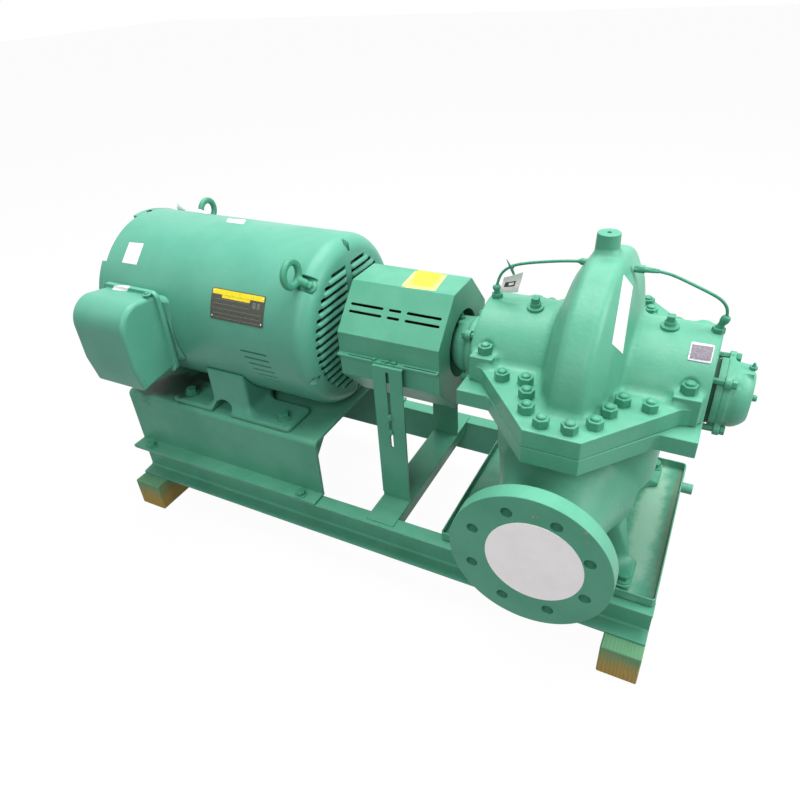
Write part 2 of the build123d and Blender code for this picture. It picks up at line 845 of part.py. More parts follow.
def build_casing_lower():
    outline = [(casing_end_x, ear_y), (ear_x, ear_y), (nose_x, nose_y)]
    pan_floor = rail_top + pan_sheet
    with BuildPart() as low:
        with BuildSketch(Plane.XY.offset(shaft_z)):
            with BuildLine():
                Polyline(*half_outline(outline), close=True)
            make_face()
        extrude(amount=-lower_flange_t)
        add(build_chamber(pan_floor))
        for side, face in ((-1, suction), (1, discharge)):
            add(flange_face(side, face))
        with BuildSketch(Plane.XY.offset(pan_floor)):
            with Locations((pump_x, 0)):
                RectangleRounded(2 * pump_foot_x, 2 * pump_foot_y, pump_foot_r)
        extrude(amount=pump_foot_t)
    return low.part


def build_chamber(floor):
    """The body under the split: full chambers, a waist and a spreading root, round at its corners."""
    with BuildPart() as chamber:
        with BuildSketch(Plane.XZ.offset(-chamber_y)):
            with BuildLine():
                Polyline((pump_x, shaft_z), (pump_x + chamber_x, shaft_z), (pump_x + chamber_x, shaft_z - chamber_low))
                ThreePointArc(
                    (pump_x + chamber_x, shaft_z - chamber_low), (pump_x + hip_x, shaft_z - hip_z),
                    (pump_x + waist_x, shaft_z - waist_z),
                )
                Polyline(
                    (pump_x + waist_x, shaft_z - waist_z), (pump_x + root_x, floor + root_rise),
                    (pump_x + root_x, floor), (pump_x, floor), (pump_x, shaft_z),
                )
            make_face()
            mirror(about=Plane.YZ.offset(pump_x))
        extrude(amount=2 * chamber_y)
        with BuildSketch(Plane.XY.offset(floor)):
            with Locations((pump_x, 0)):
                RectangleRounded(2 * chamber_x, 2 * chamber_y, chamber_r)
        extrude(amount=shaft_z - floor, mode=Mode.INTERSECT)
    return chamber.part


def flange_face(side, face):
    """One drilled flange with its flaring neck."""
    rim, thick, circle, neck = face
    back = flange_face_y - thick
    with BuildPart() as port:
        with BuildSketch(Plane.YZ.offset(pump_x)):
            with BuildLine():
                Polyline((side * neck_flare_y, flange_z), (side * back, flange_z), (side * back, flange_z + neck))
                ThreePointArc(
                    (side * back, flange_z + neck),
                    (side * (back + neck_flare_y) / 2, flange_z + (neck + neck_flare_r) / 2 - neck_hollow),
                    (side * neck_flare_y, flange_z + neck_flare_r),
                )
                Line((side * neck_flare_y, flange_z + neck_flare_r), (side * neck_flare_y, flange_z))
            make_face()
        revolve(axis=Axis((pump_x, 0, flange_z), (0, 1, 0)))
        with BuildSketch(Plane.XZ.offset(-side * flange_face_y)):
            with Locations((pump_x, flange_z)):
                Circle(rim)
                with PolarLocations(circle / 2, bolt_count, start_angle=22.5):
                    Circle(bolt_hole / 2, mode=Mode.SUBTRACT)
        extrude(amount=side * thick)
    return port.part


def build_port_covers():
    """A stuck-on disc over each port, the near one set a little off centre."""
    with BuildPart() as discs:
        for side, radius, shift in ((-1, cover_r, cover_shift), (1, outlet_cover_r, (0.0, 0.0))):
            with BuildSketch(Plane.XZ.offset(-side * flange_face_y)):
                with Locations((pump_x + shift[0], flange_z + shift[1])):
                    Circle(radius)
            extrude(amount=-side * cover_t)
    return discs.part


def stud_points():
    flange = [(sx * x, sy * y) for x, y in stud_places for sx in (-1, 1) for sy in (-1, 1)]
    pads = [(sx * pad_stud[0], sy * pad_stud[1]) for sx in (-1, 1) for sy in (-1, 1)]
    return flange, pads


def build_nuts():
    flange, pads = stud_points()
    with BuildPart() as nuts:
        for group, level in ((flange, upper_flange_t), (pads, boss_top)):
            with BuildSketch(Plane.XY.offset(shaft_z + level)):
                with Locations(*[(pump_x + x, y) for x, y in group]):
                    RegularPolygon(nut_af / 2, 6, major_radius=False)
            extrude(amount=nut_t)
            with BuildSketch(Plane.XY.offset(shaft_z + level + nut_t)):
                with Locations(*[(pump_x + x, y) for x, y in group]):
                    Circle(stud_r)
            extrude(amount=stud_out)
    return nuts.part


def build_bearing(direction):
    """A bearing housing: four bolt lugs, scallops for the bolt heads and a pad for the grease nipple."""
    def at(distance):
        return pump_x + direction * distance

    lug_end = bearing_x0 + lug_t
    with BuildPart() as housing:
        with BuildSketch(Plane.XZ):
            with BuildLine():
                Polyline(
                    (at(casing_end_x), shaft_z), (at(casing_end_x), shaft_z + gland_r),
                    (at(bearing_x0), shaft_z + gland_r), (at(bearing_x0), shaft_z + bearing_flange_r),
                    (at(lug_end), shaft_z + bearing_flange_r), (at(lug_end), shaft_z + bearing_r),
                    (at(bearing_taper_x), shaft_z + bearing_r),
                )
                ThreePointArc(
                    (at(bearing_taper_x), shaft_z + bearing_r),
                    (at(bearing_round_x), shaft_z + bearing_round_r),
                    (at(bearing_end_x), shaft_z + bearing_end_r),
                )
                Polyline((at(bearing_end_x), shaft_z + bearing_end_r), (at(bearing_end_x), shaft_z),
                         (at(casing_end_x), shaft_z))
            make_face()
        revolve(axis=Axis((0, 0, shaft_z), (1, 0, 0)))
        with BuildSketch(Plane.YZ.offset(at(bearing_x0))):
            with Locations((0, shaft_z)):
                with PolarLocations(lug_pitch_r, 4, start_angle=45):
                    Circle(lug_r)
        extrude(amount=direction * lug_t)
        with BuildSketch(Plane.YZ.offset(at(lug_end))):
            with Locations((0, shaft_z)):
                with PolarLocations(lug_pitch_r, 4, start_angle=45):
                    Circle(lug_r + seat_gap)
        extrude(amount=direction * (bearing_end_x - lug_end), mode=Mode.SUBTRACT)
        with Locations((at(bearing_end_x - grease_pad_l / 2 - grease_in), 0, shaft_z + bearing_end_r / 2)):
            Box(grease_pad_l, grease_pad_w, grease_top - bearing_end_r / 2,
                align=(Align.CENTER, Align.CENTER, Align.MIN))
    return housing.part


def build_end_cap():
    """The small plug in the outboard end of the bearing housing."""
    with BuildPart() as cap:
        with BuildSketch(Plane.YZ.offset(pump_x + bearing_end_x)):
            with Locations((0, shaft_z)):
                Circle(end_cap_r)
        extrude(amount=end_cap_t)
        chamfer(cap.faces().sort_by(Axis.X)[-1].edges(), end_cap_r / 4)
    return cap.part


def build_plugs():
    """Square-head pipe plugs on round collars, one on each cheek."""
    with BuildPart() as plugs:
        for x, lean in ((plug_left_x, plug_left_lean), (plug_right_x, plug_right_lean)):
            with BuildSketch(radial_plane(pump_x + x, lean, cheek_r - plug_collar_t)):
                Circle(plug_collar_r)
            extrude(amount=2 * plug_collar_t)
            with BuildSketch(radial_plane(pump_x + x, lean, cheek_r + plug_collar_t)):
                Circle(plug_body_r)
            extrude(amount=plug_body_t)
            with BuildSketch(radial_plane(pump_x + x, lean, cheek_r + plug_collar_t + plug_body_t)):
                Rectangle(plug_head, plug_head)
            extrude(amount=plug_head_t)
        with BuildSketch(Plane.YZ.offset(pump_x - casing_end_x)):
            with Locations((0, shaft_z)):
                Circle(cheek_r + seat_gap)
        extrude(amount=2 * casing_end_x, mode=Mode.SUBTRACT)
    return plugs.part


def elbow_end(side, length):
    """A point on the leaning axis of one elbow, so far above its nut."""
    lean = math.radians(elbow_left_lean if side < 0 else elbow_right_lean)
    foot_x = flush_left_x if side < 0 else flush_right_x
    return Vector(pump_x + side * (foot_x + length * math.sin(lean)), 0,
                  shaft_z + cheek_r + flush_base + length * math.cos(lean))


def build_flush_fittings():
    """Elbows that feed the two stuffing boxes, and the unions on the volute's flanks."""
    with BuildPart() as fittings:
        for side, foot_x, elbow, reach in ((-1, flush_left_x, elbow_left, union_left),
                                           (1, flush_right_x, elbow_right, union_right)):
            with BuildSketch(Plane.XY.offset(shaft_z + cheek_r)):
                with Locations((pump_x + side * foot_x, 0)):
                    RegularPolygon(flush_nut / 2, 6, major_radius=False)
            extrude(amount=flush_base)
            start = elbow_end(side, -flush_base / 2)
            end = elbow_end(side, elbow)
            with BuildSketch(Plane(origin=start, z_dir=end - start)):
                Circle(elbow_r)
            extrude(amount=(end - start).length)
            with BuildSketch(Plane.YZ.offset(pump_x)):
                with Locations((0, shaft_z + flush_level)):
                    Circle(union_r)
            extrude(amount=side * reach)
        with BuildSketch(Plane.XY.offset(shaft_z)):
            with Locations((pump_x, 0)):
                Rectangle(3 * casing_end_x, 2 * flush_nut)
        extrude(amount=cheek_r, mode=Mode.SUBTRACT)
        add(crown_sketch())
        revolve(axis=Axis((0, 0, shaft_z), (1, 0, 0)), mode=Mode.SUBTRACT)
    return fittings.part


def build_flush_lines():
    """Two small tubes from the unions on the volute down to the elbows, bent by hand."""
    left = ((0.21, 0.09), (0.40, 0.22), (0.72, 0.40), (0.94, 0.76))
    right = ((0.20, 0.07), (0.70, 0.42), (0.89, 0.59), (0.98, 0.75))
    with BuildPart() as lines:
        for side, reach, elbow, bends in ((-1, union_left, elbow_left, left), (1, union_right, elbow_right, right)):
            start = Vector(pump_x + side * reach, 0, shaft_z + flush_level)
            end = elbow_end(side, elbow)
            points = [(start.X + (end.X - start.X) * u, start.Z + (end.Z - start.Z) * v) for u, v in bends]
            with BuildLine(Plane.XZ) as path:
                Spline((start.X, start.Z), *points, (end.X, end.Z))
            with BuildSketch(Plane(origin=path.line @ 0, z_dir=path.line % 0)):
                Circle(flush_r)
            sweep(path=path.line)
        add(build_flush_fittings(), mode=Mode.SUBTRACT)
    return lines.part


def build_bearing_bolts():
    """Bolts through the bearing lugs into the casing's end faces."""
    with BuildPart() as screws:
        for side in (-1, 1):
            head = pump_x + side * (bearing_x0 + lug_t)
            stud = pump_x + side * casing_end_x
            for start, length, size in ((head, lug_head_t, lug_head_r), (stud, bearing_x0 - casing_end_x, lug_stud_r)):
                with BuildSketch(Plane.YZ.offset(start)):
                    with Locations((0, shaft_z)):
                        with PolarLocations(lug_pitch_r, 4, start_angle=45):
                            RegularPolygon(size, 6, major_radius=False)
                extrude(amount=side * length)
    return screws.part


def build_grease_nipples():
    """One nipple on the pad of each bearing housing."""
    with BuildPart() as nipples:
        places = [(pump_x + side * grease_x, 0) for side in (-1, 1)]
        with BuildSketch(Plane.XY.offset(shaft_z + grease_top)):
            with Locations(*places):
                RegularPolygon(nipple_r, 6, major_radius=False)
        extrude(amount=nipple_base)
        with BuildSketch(Plane.XY.offset(shaft_z + grease_top + nipple_base)):
            with Locations(*places):
                Circle(nipple_tip_r)
        extrude(amount=nipple_tip, taper=nipple_taper)
    return nipples.part


def build_foot_bolts():
    """Hold-down bolts of the motor's and the pump's feet."""
    with BuildPart() as bolts:
        corners = [(e, s) for e in (-1, 1) for s in (-1, 1)]
        motor = [(foot_mid_x + e * foot_hole_span / 2, s * foot_hole_y) for e, s in corners]
        pump = [(pump_x + e * pump_hole_x, s * pump_hole_y) for e, s in corners]
        for group, level in ((motor, pedestal_top + foot_pad_t), (pump, rail_top + pan_sheet + pump_foot_t)):
            with BuildSketch(Plane.XY.offset(level)):
                with Locations(*group):
                    Circle(foot_washer_r)
            extrude(amount=foot_washer_t)
            with BuildSketch(Plane.XY.offset(level + foot_washer_t)):
                with Locations(*group):
                    RegularPolygon(foot_nut_r, 6, major_radius=False)
            extrude(amount=foot_nut_t)
    return bolts.part


def build_guard_bolts():
    """Small bolts through the guard's joint flange and the tops of its legs."""
    with BuildPart() as bolts:
        y = guard_half + guard_flange / 2
        places = [(x, s * y) for x in guard_bolt_x for s in (-1, 1)]
        with BuildSketch(Plane.XY.offset(shaft_z + guard_split + guard_sheet)):
            with Locations(*places):
                RegularPolygon(guard_bolt_r, 6, major_radius=False)
        extrude(amount=guard_bolt_t)
    return bolts.part


def build_tag():
    """The thin plate on the outboard cheek."""
    with BuildPart() as tag:
        with BuildSketch(radial_plane(pump_x + tag_x, tag_lean, cheek_r - tag_corner)):
            RectangleRounded(tag_w, tag_w, tag_corner)
        extrude(amount=3 * tag_corner)
        with BuildSketch(Plane.YZ.offset(pump_x + tag_x - tag_w)):
            with Locations((0, shaft_z)):
                Circle(cheek_r + seat_gap)
        extrude(amount=2 * tag_w, mode=Mode.SUBTRACT)
        with BuildSketch(Plane.YZ.offset(pump_x + tag_x - tag_w)):
            with Locations((0, shaft_z)):
                Circle(cheek_r + tag_t)
        extrude(amount=2 * tag_w, mode=Mode.INTERSECT)
    return tag.part


def build_nameplate():
    """The plate on the motor's near side, bent to the body."""
    with BuildPart() as plate:
        with BuildSketch(radial_plane(name_x, name_lean, motor_r - name_sag)):
            RectangleRounded(name_w, name_h, name_corner)
        extrude(amount=2 * name_sag)
        with BuildSketch(Plane.YZ.offset(name_x - name_w)):
            with Locations((0, shaft_z)):
                Circle(motor_r + name_t)
        extrude(amount=2 * name_w, mode=Mode.INTERSECT)
        with BuildSketch(Plane.YZ.offset(name_x - name_w)):
            with Locations((0, shaft_z)):
                Circle(motor_r + seat_gap)
        extrude(amount=2 * name_w, mode=Mode.SUBTRACT)
    return plate.part


def export(part, name):
    part.label = name
    export_step(part, f"parts/{name}.step")


os.makedirs("parts", exist_ok=True)
rail_front, rail_rear = build_rails()
export(rail_front, "rail_front")
export(rail_rear, "rail_rear")
export(build_cross(), "cross_channel")
export(build_timber(rail_x0 + timber_w / 2), "timber_motor_end")
export(build_timber(rail_x0 + rail_length - timber_w / 2), "timber_pump_end")
export(build_pan(), "drip_pan")
export(build_drain(), "drain_nipple")
export(build_pedestal(), "motor_pedestal")
export(build_pedestal_bolts(), "pedestal_bolts")
export(build_motor_body(), "motor_body")
export(build_cover(1), "drive_end_cover")
export(build_cover(-1), "rear_end_cover")
export(build_motor_foot(-1), "motor_foot_near")
export(build_motor_foot(1), "motor_foot_far")
export(build_eyes(), "lifting_eyes")
export(build_terminal_box(), "terminal_box")
export(build_guard_upper(), "guard_upper")
export(build_guard_lower(), "guard_lower")
export(build_guard_ends(), "guard_ends")
export(build_leg(-1), "guard_leg_near")
export(build_leg(1), "guard_leg_far")
export(build_coupling(), "coupling")
export(build_casing_upper(), "casing_upper")
export(build_casing_lower(), "casing_lower")
export(build_port_covers(), "port_covers")
export(build_nuts(), "casing_nuts")
export(build_bearing(1), "bearing_outboard")
export(build_end_cap(), "bearing_end_cap")
export(build_bearing(-1), "bearing_inboard")
export(build_plugs(), "cheek_plugs")
export(build_flush_fittings(), "flush_fittings")
export(build_flush_lines(), "flush_lines")
export(build_bearing_bolts(), "bearing_screws")
export(build_grease_nipples(), "grease_nipples")
export(build_foot_bolts(), "foot_bolts")
export(build_guard_bolts(), "guard_bolts")
export(build_tag(), "cheek_tag")
export(build_nameplate(), "motor_nameplate")
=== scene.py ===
# %% [markdown]
# # A split case pump set in sea green enamel
#
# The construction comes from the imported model: rails, pedestal, motor, guard and pump are already there
# at their real size. This notebook gives them their finish, and makes the small forms that a foundry
# or a sheet-metal shop leaves behind: fillets, rounded edges, nuts on studs, louvre lips, labels and
# overspray. Everything is in metres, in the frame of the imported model.

# %% Imports and the frame
import math

import bmesh
import bpy
from mathutils import Matrix, Vector
from mathutils.bvhtree import BVHTree


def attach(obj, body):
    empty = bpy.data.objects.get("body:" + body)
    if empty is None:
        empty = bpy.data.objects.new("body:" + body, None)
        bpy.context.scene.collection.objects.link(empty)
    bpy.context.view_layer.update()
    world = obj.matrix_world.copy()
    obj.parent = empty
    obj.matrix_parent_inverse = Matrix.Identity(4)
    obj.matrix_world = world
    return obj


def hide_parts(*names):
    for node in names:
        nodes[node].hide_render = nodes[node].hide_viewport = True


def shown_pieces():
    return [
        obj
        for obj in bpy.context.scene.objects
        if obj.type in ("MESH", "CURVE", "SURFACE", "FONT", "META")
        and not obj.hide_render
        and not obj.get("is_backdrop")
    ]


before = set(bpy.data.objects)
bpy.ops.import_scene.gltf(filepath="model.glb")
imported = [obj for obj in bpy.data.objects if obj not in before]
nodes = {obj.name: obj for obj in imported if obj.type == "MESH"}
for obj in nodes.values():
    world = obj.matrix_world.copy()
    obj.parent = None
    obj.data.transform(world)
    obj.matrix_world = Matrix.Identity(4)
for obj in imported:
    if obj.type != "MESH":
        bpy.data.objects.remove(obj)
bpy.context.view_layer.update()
print("packed nodes:", len(nodes))

# %% [markdown]
# The camera stands where the photographer stood. Its direction was worked out from the pump's round
# flange and its long straight edges: an azimuth, an elevation and a small roll, with the lens as a
# focal length in pixels of an 800 pixel picture.

# %% Camera
PICTURE = 800.0
FOCAL_PIXELS = 645.0
CENTRE_PIXEL = (406.3, 407.7)
EYE = Vector((0.6644, -1.2320, 1.3317))
AZIMUTH = math.radians(28.55)
ELEVATION = math.radians(34.55)
ROLL = math.radians(-3.48)


def camera_axes():
    """The camera's right, down and ahead directions in the object's frame."""
    ahead = Vector((-math.sin(AZIMUTH) * math.cos(ELEVATION),
                    math.cos(AZIMUTH) * math.cos(ELEVATION), -math.sin(ELEVATION)))
    level = Vector((math.cos(AZIMUTH), math.sin(AZIMUTH), 0.0))
    below = ahead.cross(level)
    right = math.cos(ROLL) * level - math.sin(ROLL) * below
    down = math.sin(ROLL) * level + math.cos(ROLL) * below
    return right, down, ahead


right, down, ahead = camera_axes()
camera_data = bpy.data.cameras.new("camera")
camera_data.sensor_width = 36.0
camera_data.lens = camera_data.sensor_width * FOCAL_PIXELS / PICTURE
camera_data.shift_x = (PICTURE / 2 - CENTRE_PIXEL[0]) / PICTURE
camera_data.shift_y = (CENTRE_PIXEL[1] - PICTURE / 2) / PICTURE
camera_data.clip_start = 0.05
camera_data.clip_end = 60.0
camera = bpy.data.objects.new("camera", camera_data)
bpy.context.scene.collection.objects.link(camera)
camera.matrix_world = Matrix.Translation(EYE) @ Matrix((right, -down, -ahead)).transposed().to_4x4()
bpy.context.scene.camera = camera
print("lens:", round(camera_data.lens, 2), "mm")

# %% [markdown]
# The floor and the backdrop are one pale sheet. Its colour shows white to the camera and in reflections
# through an emission that only those rays see, mixed with a little of the shadow that a plain diffuse
# floor would catch. All other rays meet a grey floor, so that it throws little light up at the set.

# %% Floor
FLOOR_SIZE = 40.0
FLOOR_GLOW = 0.965
FLOOR_WHITE = 0.9
FLOOR_GREY = 0.2
FLOOR_DROP = 0.001


def make_floor():
    """The sheet, a little under the skids, so that the two never share one plane."""
    mesh = bpy.data.meshes.new("floor")
    bm = bmesh.new()
    bmesh.ops.create_grid(bm, x_segments=1, y_segments=1, size=FLOOR_SIZE / 2)
    bm.to_mesh(mesh)
    bm.free()
    floor = bpy.data.objects.new("floor", mesh)
    bpy.context.scene.collection.objects.link(floor)
    floor.data.transform(Matrix.Translation((0, 0, -FLOOR_DROP)))
    floor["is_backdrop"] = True
    return floor


def backdrop_rays(tree):
    """One for the rays that show the background: to the camera, in reflections and through glass."""
    paths = tree.nodes.new("ShaderNodeLightPath")
    total = paths.outputs["Is Camera Ray"]
    for ray in ("Is Glossy Ray", "Is Transmission Ray"):
        either = tree.nodes.new("ShaderNodeMath")
        either.operation = "MAXIMUM"
        tree.links.new(total, either.inputs[0])
        tree.links.new(paths.outputs[ray], either.inputs[1])
        total = either.outputs["Value"]
    return total


def floor_material():
    """A grey floor for the light, and a pale one for the eye and for reflections."""
    material = bpy.data.materials.new("pale_floor")
    material.use_nodes = True
    tree = material.node_tree
    surface = tree.nodes["Principled BSDF"]
    surface.inputs["Base Color"].default_value = (FLOOR_GREY, FLOOR_GREY, FLOOR_GREY, 1.0)
    surface.inputs["Roughness"].default_value = 0.9
    surface.inputs["Specular IOR Level"].default_value = 0.0
    seen = tree.nodes.new("ShaderNodeBsdfDiffuse")
    seen.inputs["Color"].default_value = (FLOOR_WHITE, FLOOR_WHITE, FLOOR_WHITE, 1.0)
    glow = tree.nodes.new("ShaderNodeEmission")
    glow.inputs["Color"].default_value = (1.0, 1.0, 1.0, 1.0)
    pale = tree.nodes.new("ShaderNodeMixShader")
    pale.inputs["Fac"].default_value = FLOOR_GLOW
    blend = tree.nodes.new("ShaderNodeMixShader")
    tree.links.new(seen.outputs["BSDF"], pale.inputs[1])
    tree.links.new(glow.outputs["Emission"], pale.inputs[2])
    tree.links.new(backdrop_rays(tree), blend.inputs["Fac"])
    tree.links.new(surface.outputs["BSDF"], blend.inputs[1])
    tree.links.new(pale.outputs["Shader"], blend.inputs[2])
    tree.links.new(blend.outputs["Shader"], tree.nodes["Material Output"].inputs["Surface"])
    return material


floor = make_floor()
floor.data.materials.append(floor_material())
print("floor:", FLOOR_SIZE, "m wide")

# %% [markdown]
# The light is a large soft ceiling, as in a workshop with many lamps overhead, with three weak fills from
# the front and the sides. A few soft lamps were chosen over one hard lamp because the shadows under the
# motor and the pump have no sharp borders.

# %% Lamps
CEILING_POWER = 264.0
FRONT_POWER = 80.0
LEFT_POWER = 8.0
RIGHT_POWER = 92.0


def soft_light(name, place, target, size, power):
    """A square lamp that looks at a point."""
    data = bpy.data.lights.new(name, "AREA")
    data.shape = "SQUARE"
    data.size = size
    data.energy = power
    lamp = bpy.data.objects.new(name, data)
    bpy.context.scene.collection.objects.link(lamp)
    lamp.location = place
    aim = Vector(target) - Vector(place)
    lamp.rotation_euler = aim.to_track_quat("-Z", "Y").to_euler()
    return lamp


soft_light("ceiling", (0.1, 0.7, 4.2), (0.0, 0.0, 0.4), 3.2, CEILING_POWER)
soft_light("front_fill", (0.7, -3.6, 2.9), (0.1, 0.0, 0.5), 2.2, FRONT_POWER)
soft_light("left_window", (-3.2, -1.8, 2.6), (0.0, 0.0, 0.5), 1.8, LEFT_POWER)
soft_light("right_fill", (3.2, 0.5, 2.2), (0.4, 0.0, 0.5), 1.8, RIGHT_POWER)
print("lamps:", len(bpy.data.lights))

# %% [markdown]
# The world is white where it is seen, by the camera or in a reflection, and a weaker even light for the
# rest. The Standard view shows a colour about as it is written.

# %% World and view
WORLD_STRENGTH = 0.2


def make_world():
    """White to the camera and in reflections and glass, and a weaker even light for the rest."""
    world = bpy.data.worlds.new("studio")
    world.use_nodes = True
    tree = world.node_tree
    base = tree.nodes["Background"]
    base.inputs["Color"].default_value = (1.0, 1.0, 1.0, 1.0)
    base.inputs["Strength"].default_value = WORLD_STRENGTH
    white = tree.nodes.new("ShaderNodeBackground")
    white.inputs["Color"].default_value = (1.0, 1.0, 1.0, 1.0)
    white.inputs["Strength"].default_value = 1.0
    blend = tree.nodes.new("ShaderNodeMixShader")
    tree.links.new(backdrop_rays(tree), blend.inputs["Fac"])
    tree.links.new(base.outputs["Background"], blend.inputs[1])
    tree.links.new(white.outputs["Background"], blend.inputs[2])
    tree.links.new(blend.outputs["Shader"], tree.nodes["World Output"].inputs["Surface"])
    return world


bpy.context.scene.world = make_world()
bpy.context.scene.view_settings.view_transform = "Standard"
print("world light:", WORLD_STRENGTH)

# %% [markdown]
# ## Shading helpers
#
# Colours are written as the 0 to 255 numbers of a picture and turned into linear light here, because
# a colour is easiest to judge by those numbers.

# %% Colours


def srgb(r, g, b):
    """Linear colour from the 0 to 255 numbers of a picture."""
    def one(v):
        v = v / 255.0
        return v / 12.92 if v <= 0.04045 else ((v + 0.055) / 1.055) ** 2.4
    return one(r), one(g), one(b), 1.0


print("middle grey in linear light:", round(srgb(128, 128, 128)[0], 3))

# %% [markdown]
# A few short functions keep the node trees readable: one feeds a socket with either a link or a plain
# value, and the others add one noise, one remap, one mix, one sum or one stretched place.

# %% Node helpers


def feed(tree, socket, value):
    """Link an output to a socket, or write a plain value into it."""
    if isinstance(value, bpy.types.NodeSocket):
        tree.links.new(value, socket)
    else:
        socket.default_value = value


def noise(tree, vector, scale, detail, rough):
    """A cloudy pattern of about 0 to 1."""
    node = tree.nodes.new("ShaderNodeTexNoise")
    feed(tree, node.inputs["Vector"], vector)
    feed(tree, node.inputs["Scale"], scale)
    node.inputs["Detail"].default_value = detail
    node.inputs["Roughness"].default_value = rough
    return node.outputs[0]


def remap(tree, value, low, high, to_low=0.0, to_high=1.0):
    """One range of values changed smoothly to another, and held at both ends."""
    node = tree.nodes.new("ShaderNodeMapRange")
    node.interpolation_type = "SMOOTHSTEP"
    feed(tree, node.inputs["Value"], value)
    feed(tree, node.inputs["From Min"], low)
    feed(tree, node.inputs["From Max"], high)
    feed(tree, node.inputs["To Min"], to_low)
    feed(tree, node.inputs["To Max"], to_high)
    return node.outputs["Result"]


def blend_colour(tree, factor, first, second):
    """A mix of two colours by a factor of 0 to 1."""
    node = tree.nodes.new("ShaderNodeMix")
    node.data_type = "RGBA"
    feed(tree, node.inputs[0], factor)
    feed(tree, node.inputs[6], first)
    feed(tree, node.inputs[7], second)
    return node.outputs[2]


def sums(tree, kind, first, second):
    """One operation on two values."""
    node = tree.nodes.new("ShaderNodeMath")
    node.operation = kind
    feed(tree, node.inputs[0], first)
    feed(tree, node.inputs[1], second)
    return node.outputs["Value"]


def stretch(tree, vector, scale):
    """The same coordinates, squeezed or stretched along the axes."""
    node = tree.nodes.new("ShaderNodeMapping")
    feed(tree, node.inputs["Vector"], vector)
    feed(tree, node.inputs["Scale"], scale)
    return node.outputs["Vector"]


# %% [markdown]
# ## The effects that several finishes share
#
# An effect that more than one finish uses is a node group with named sockets, built once and placed in
# each material with its own values. These two functions make an empty group and place one.

# %% Group helpers


def shader_group(name, inputs, outputs):
    """An empty node group with named sockets: returns the tree, its inputs and its outputs."""
    group = bpy.data.node_groups.new(name, "ShaderNodeTree")
    for label, kind, value in inputs:
        item = group.interface.new_socket(name=label, in_out="INPUT", socket_type=kind)
        if value is not None:
            item.default_value = value
    for label, kind in outputs:
        group.interface.new_socket(name=label, in_out="OUTPUT", socket_type=kind)
    start = group.nodes.new("NodeGroupInput")
    end = group.nodes.new("NodeGroupOutput")
    return group, start.outputs, end.inputs


def use_group(tree, group, **values):
    """One instance of a group; keyword names stand for its sockets, with _ for a space."""
    node = tree.nodes.new("ShaderNodeGroup")
    node.node_tree = group
    for key, value in values.items():
        feed(tree, node.inputs[key.replace("_", " ")], value)
    return node.outputs


# %% [markdown]
# *Enamel tone*: sprayed enamel is never one even colour. Thick and thin coats give soft cloudy patches,
# and the paint runs a little darker in long streaks. Two noises at the size of a hand and of a finger
# do that in Object coordinates, so the patches stay at their real size on every part.

# %% Enamel tone


def build_enamel_tone():
    """A paint in clouds and streaks of two tones, and the clouds again for the gloss."""
    group, given, result = shader_group(
        "enamel_tone",
        [("Place", "NodeSocketVector", None), ("Paint", "NodeSocketColor", (0.1, 0.4, 0.25, 1)),
         ("Thin Coat", "NodeSocketColor", (0.08, 0.3, 0.2, 1)), ("Patch Scale", "NodeSocketFloat", 9.0)],
        [("Color", "NodeSocketColor"), ("Cloud", "NodeSocketFloat")])
    cloud = noise(group, given["Place"], given["Patch Scale"], 4.0, 0.55)
    patches = remap(group, cloud, 0.35, 0.72)
    streak = noise(group, stretch(group, given["Place"], (30.0, 30.0, 6.0)), 1.0, 3.0, 0.6)
    streaks = remap(group, streak, 0.45, 0.8, 0.0, 0.35)
    amount = sums(group, "MAXIMUM", patches, streaks)
    colour = blend_colour(group, amount, given["Paint"], given["Thin Coat"])
    group.links.new(colour, result["Color"])
    group.links.new(cloud, result["Cloud"])
    return group


enamel_tone = build_enamel_tone()
print("nodes in the tone:", len(enamel_tone.nodes))

# %% [markdown]
# *Surface grain*: cast iron shows sand-mould bumps under the paint, about a finger wide, and every
# sprayed surface has a fine orange peel of about a millimetre. A height map could be painted, but two
# noises need no seams.

# %% Surface grain


def build_surface_grain():
    """The height of fine orange peel and of coarser bumps, each with its own share."""
    group, given, result = shader_group(
        "surface_grain",
        [("Place", "NodeSocketVector", None), ("Peel Scale", "NodeSocketFloat", 900.0),
         ("Peel", "NodeSocketFloat", 0.1), ("Bump Scale", "NodeSocketFloat", 110.0),
         ("Bumps", "NodeSocketFloat", 0.6)],
        [("Height", "NodeSocketFloat")])
    peel = noise(group, given["Place"], given["Peel Scale"], 2.0, 0.5)
    bumps = noise(group, given["Place"], given["Bump Scale"], 4.0, 0.5)
    fine = sums(group, "MULTIPLY", peel, given["Peel"])
    coarse = sums(group, "MULTIPLY", bumps, given["Bumps"])
    group.links.new(sums(group, "ADD", fine, coarse), result["Height"])
    return group


surface_grain = build_surface_grain()
print("nodes in the grain:", len(surface_grain.nodes))

# %% [markdown]
# *Dust film*: fine dust lies on what looks upward, in uneven patches. The surface's own direction tells
# how far it looks up, so no mask is painted.

# %% Dust film


def build_dust_film():
    """Where dust lies: on what looks upward, in drifts."""
    group, given, result = shader_group(
        "dust_film",
        [("Place", "NodeSocketVector", None), ("Facing", "NodeSocketVector", None),
         ("Amount", "NodeSocketFloat", 0.4)],
        [("Mask", "NodeSocketFloat")])
    parts = group.nodes.new("ShaderNodeSeparateXYZ")
    group.links.new(given["Facing"], parts.inputs["Vector"])
    upward = remap(group, parts.outputs["Z"], 0.35, 0.95)
    drift = remap(group, noise(group, given["Place"], 14.0, 5.0, 0.6), 0.38, 0.7)
    film = sums(group, "MULTIPLY", upward, drift)
    group.links.new(sums(group, "MULTIPLY", film, given["Amount"]), result["Mask"])
    return group


dust_film = build_dust_film()
print("nodes in the dust:", len(dust_film.nodes))

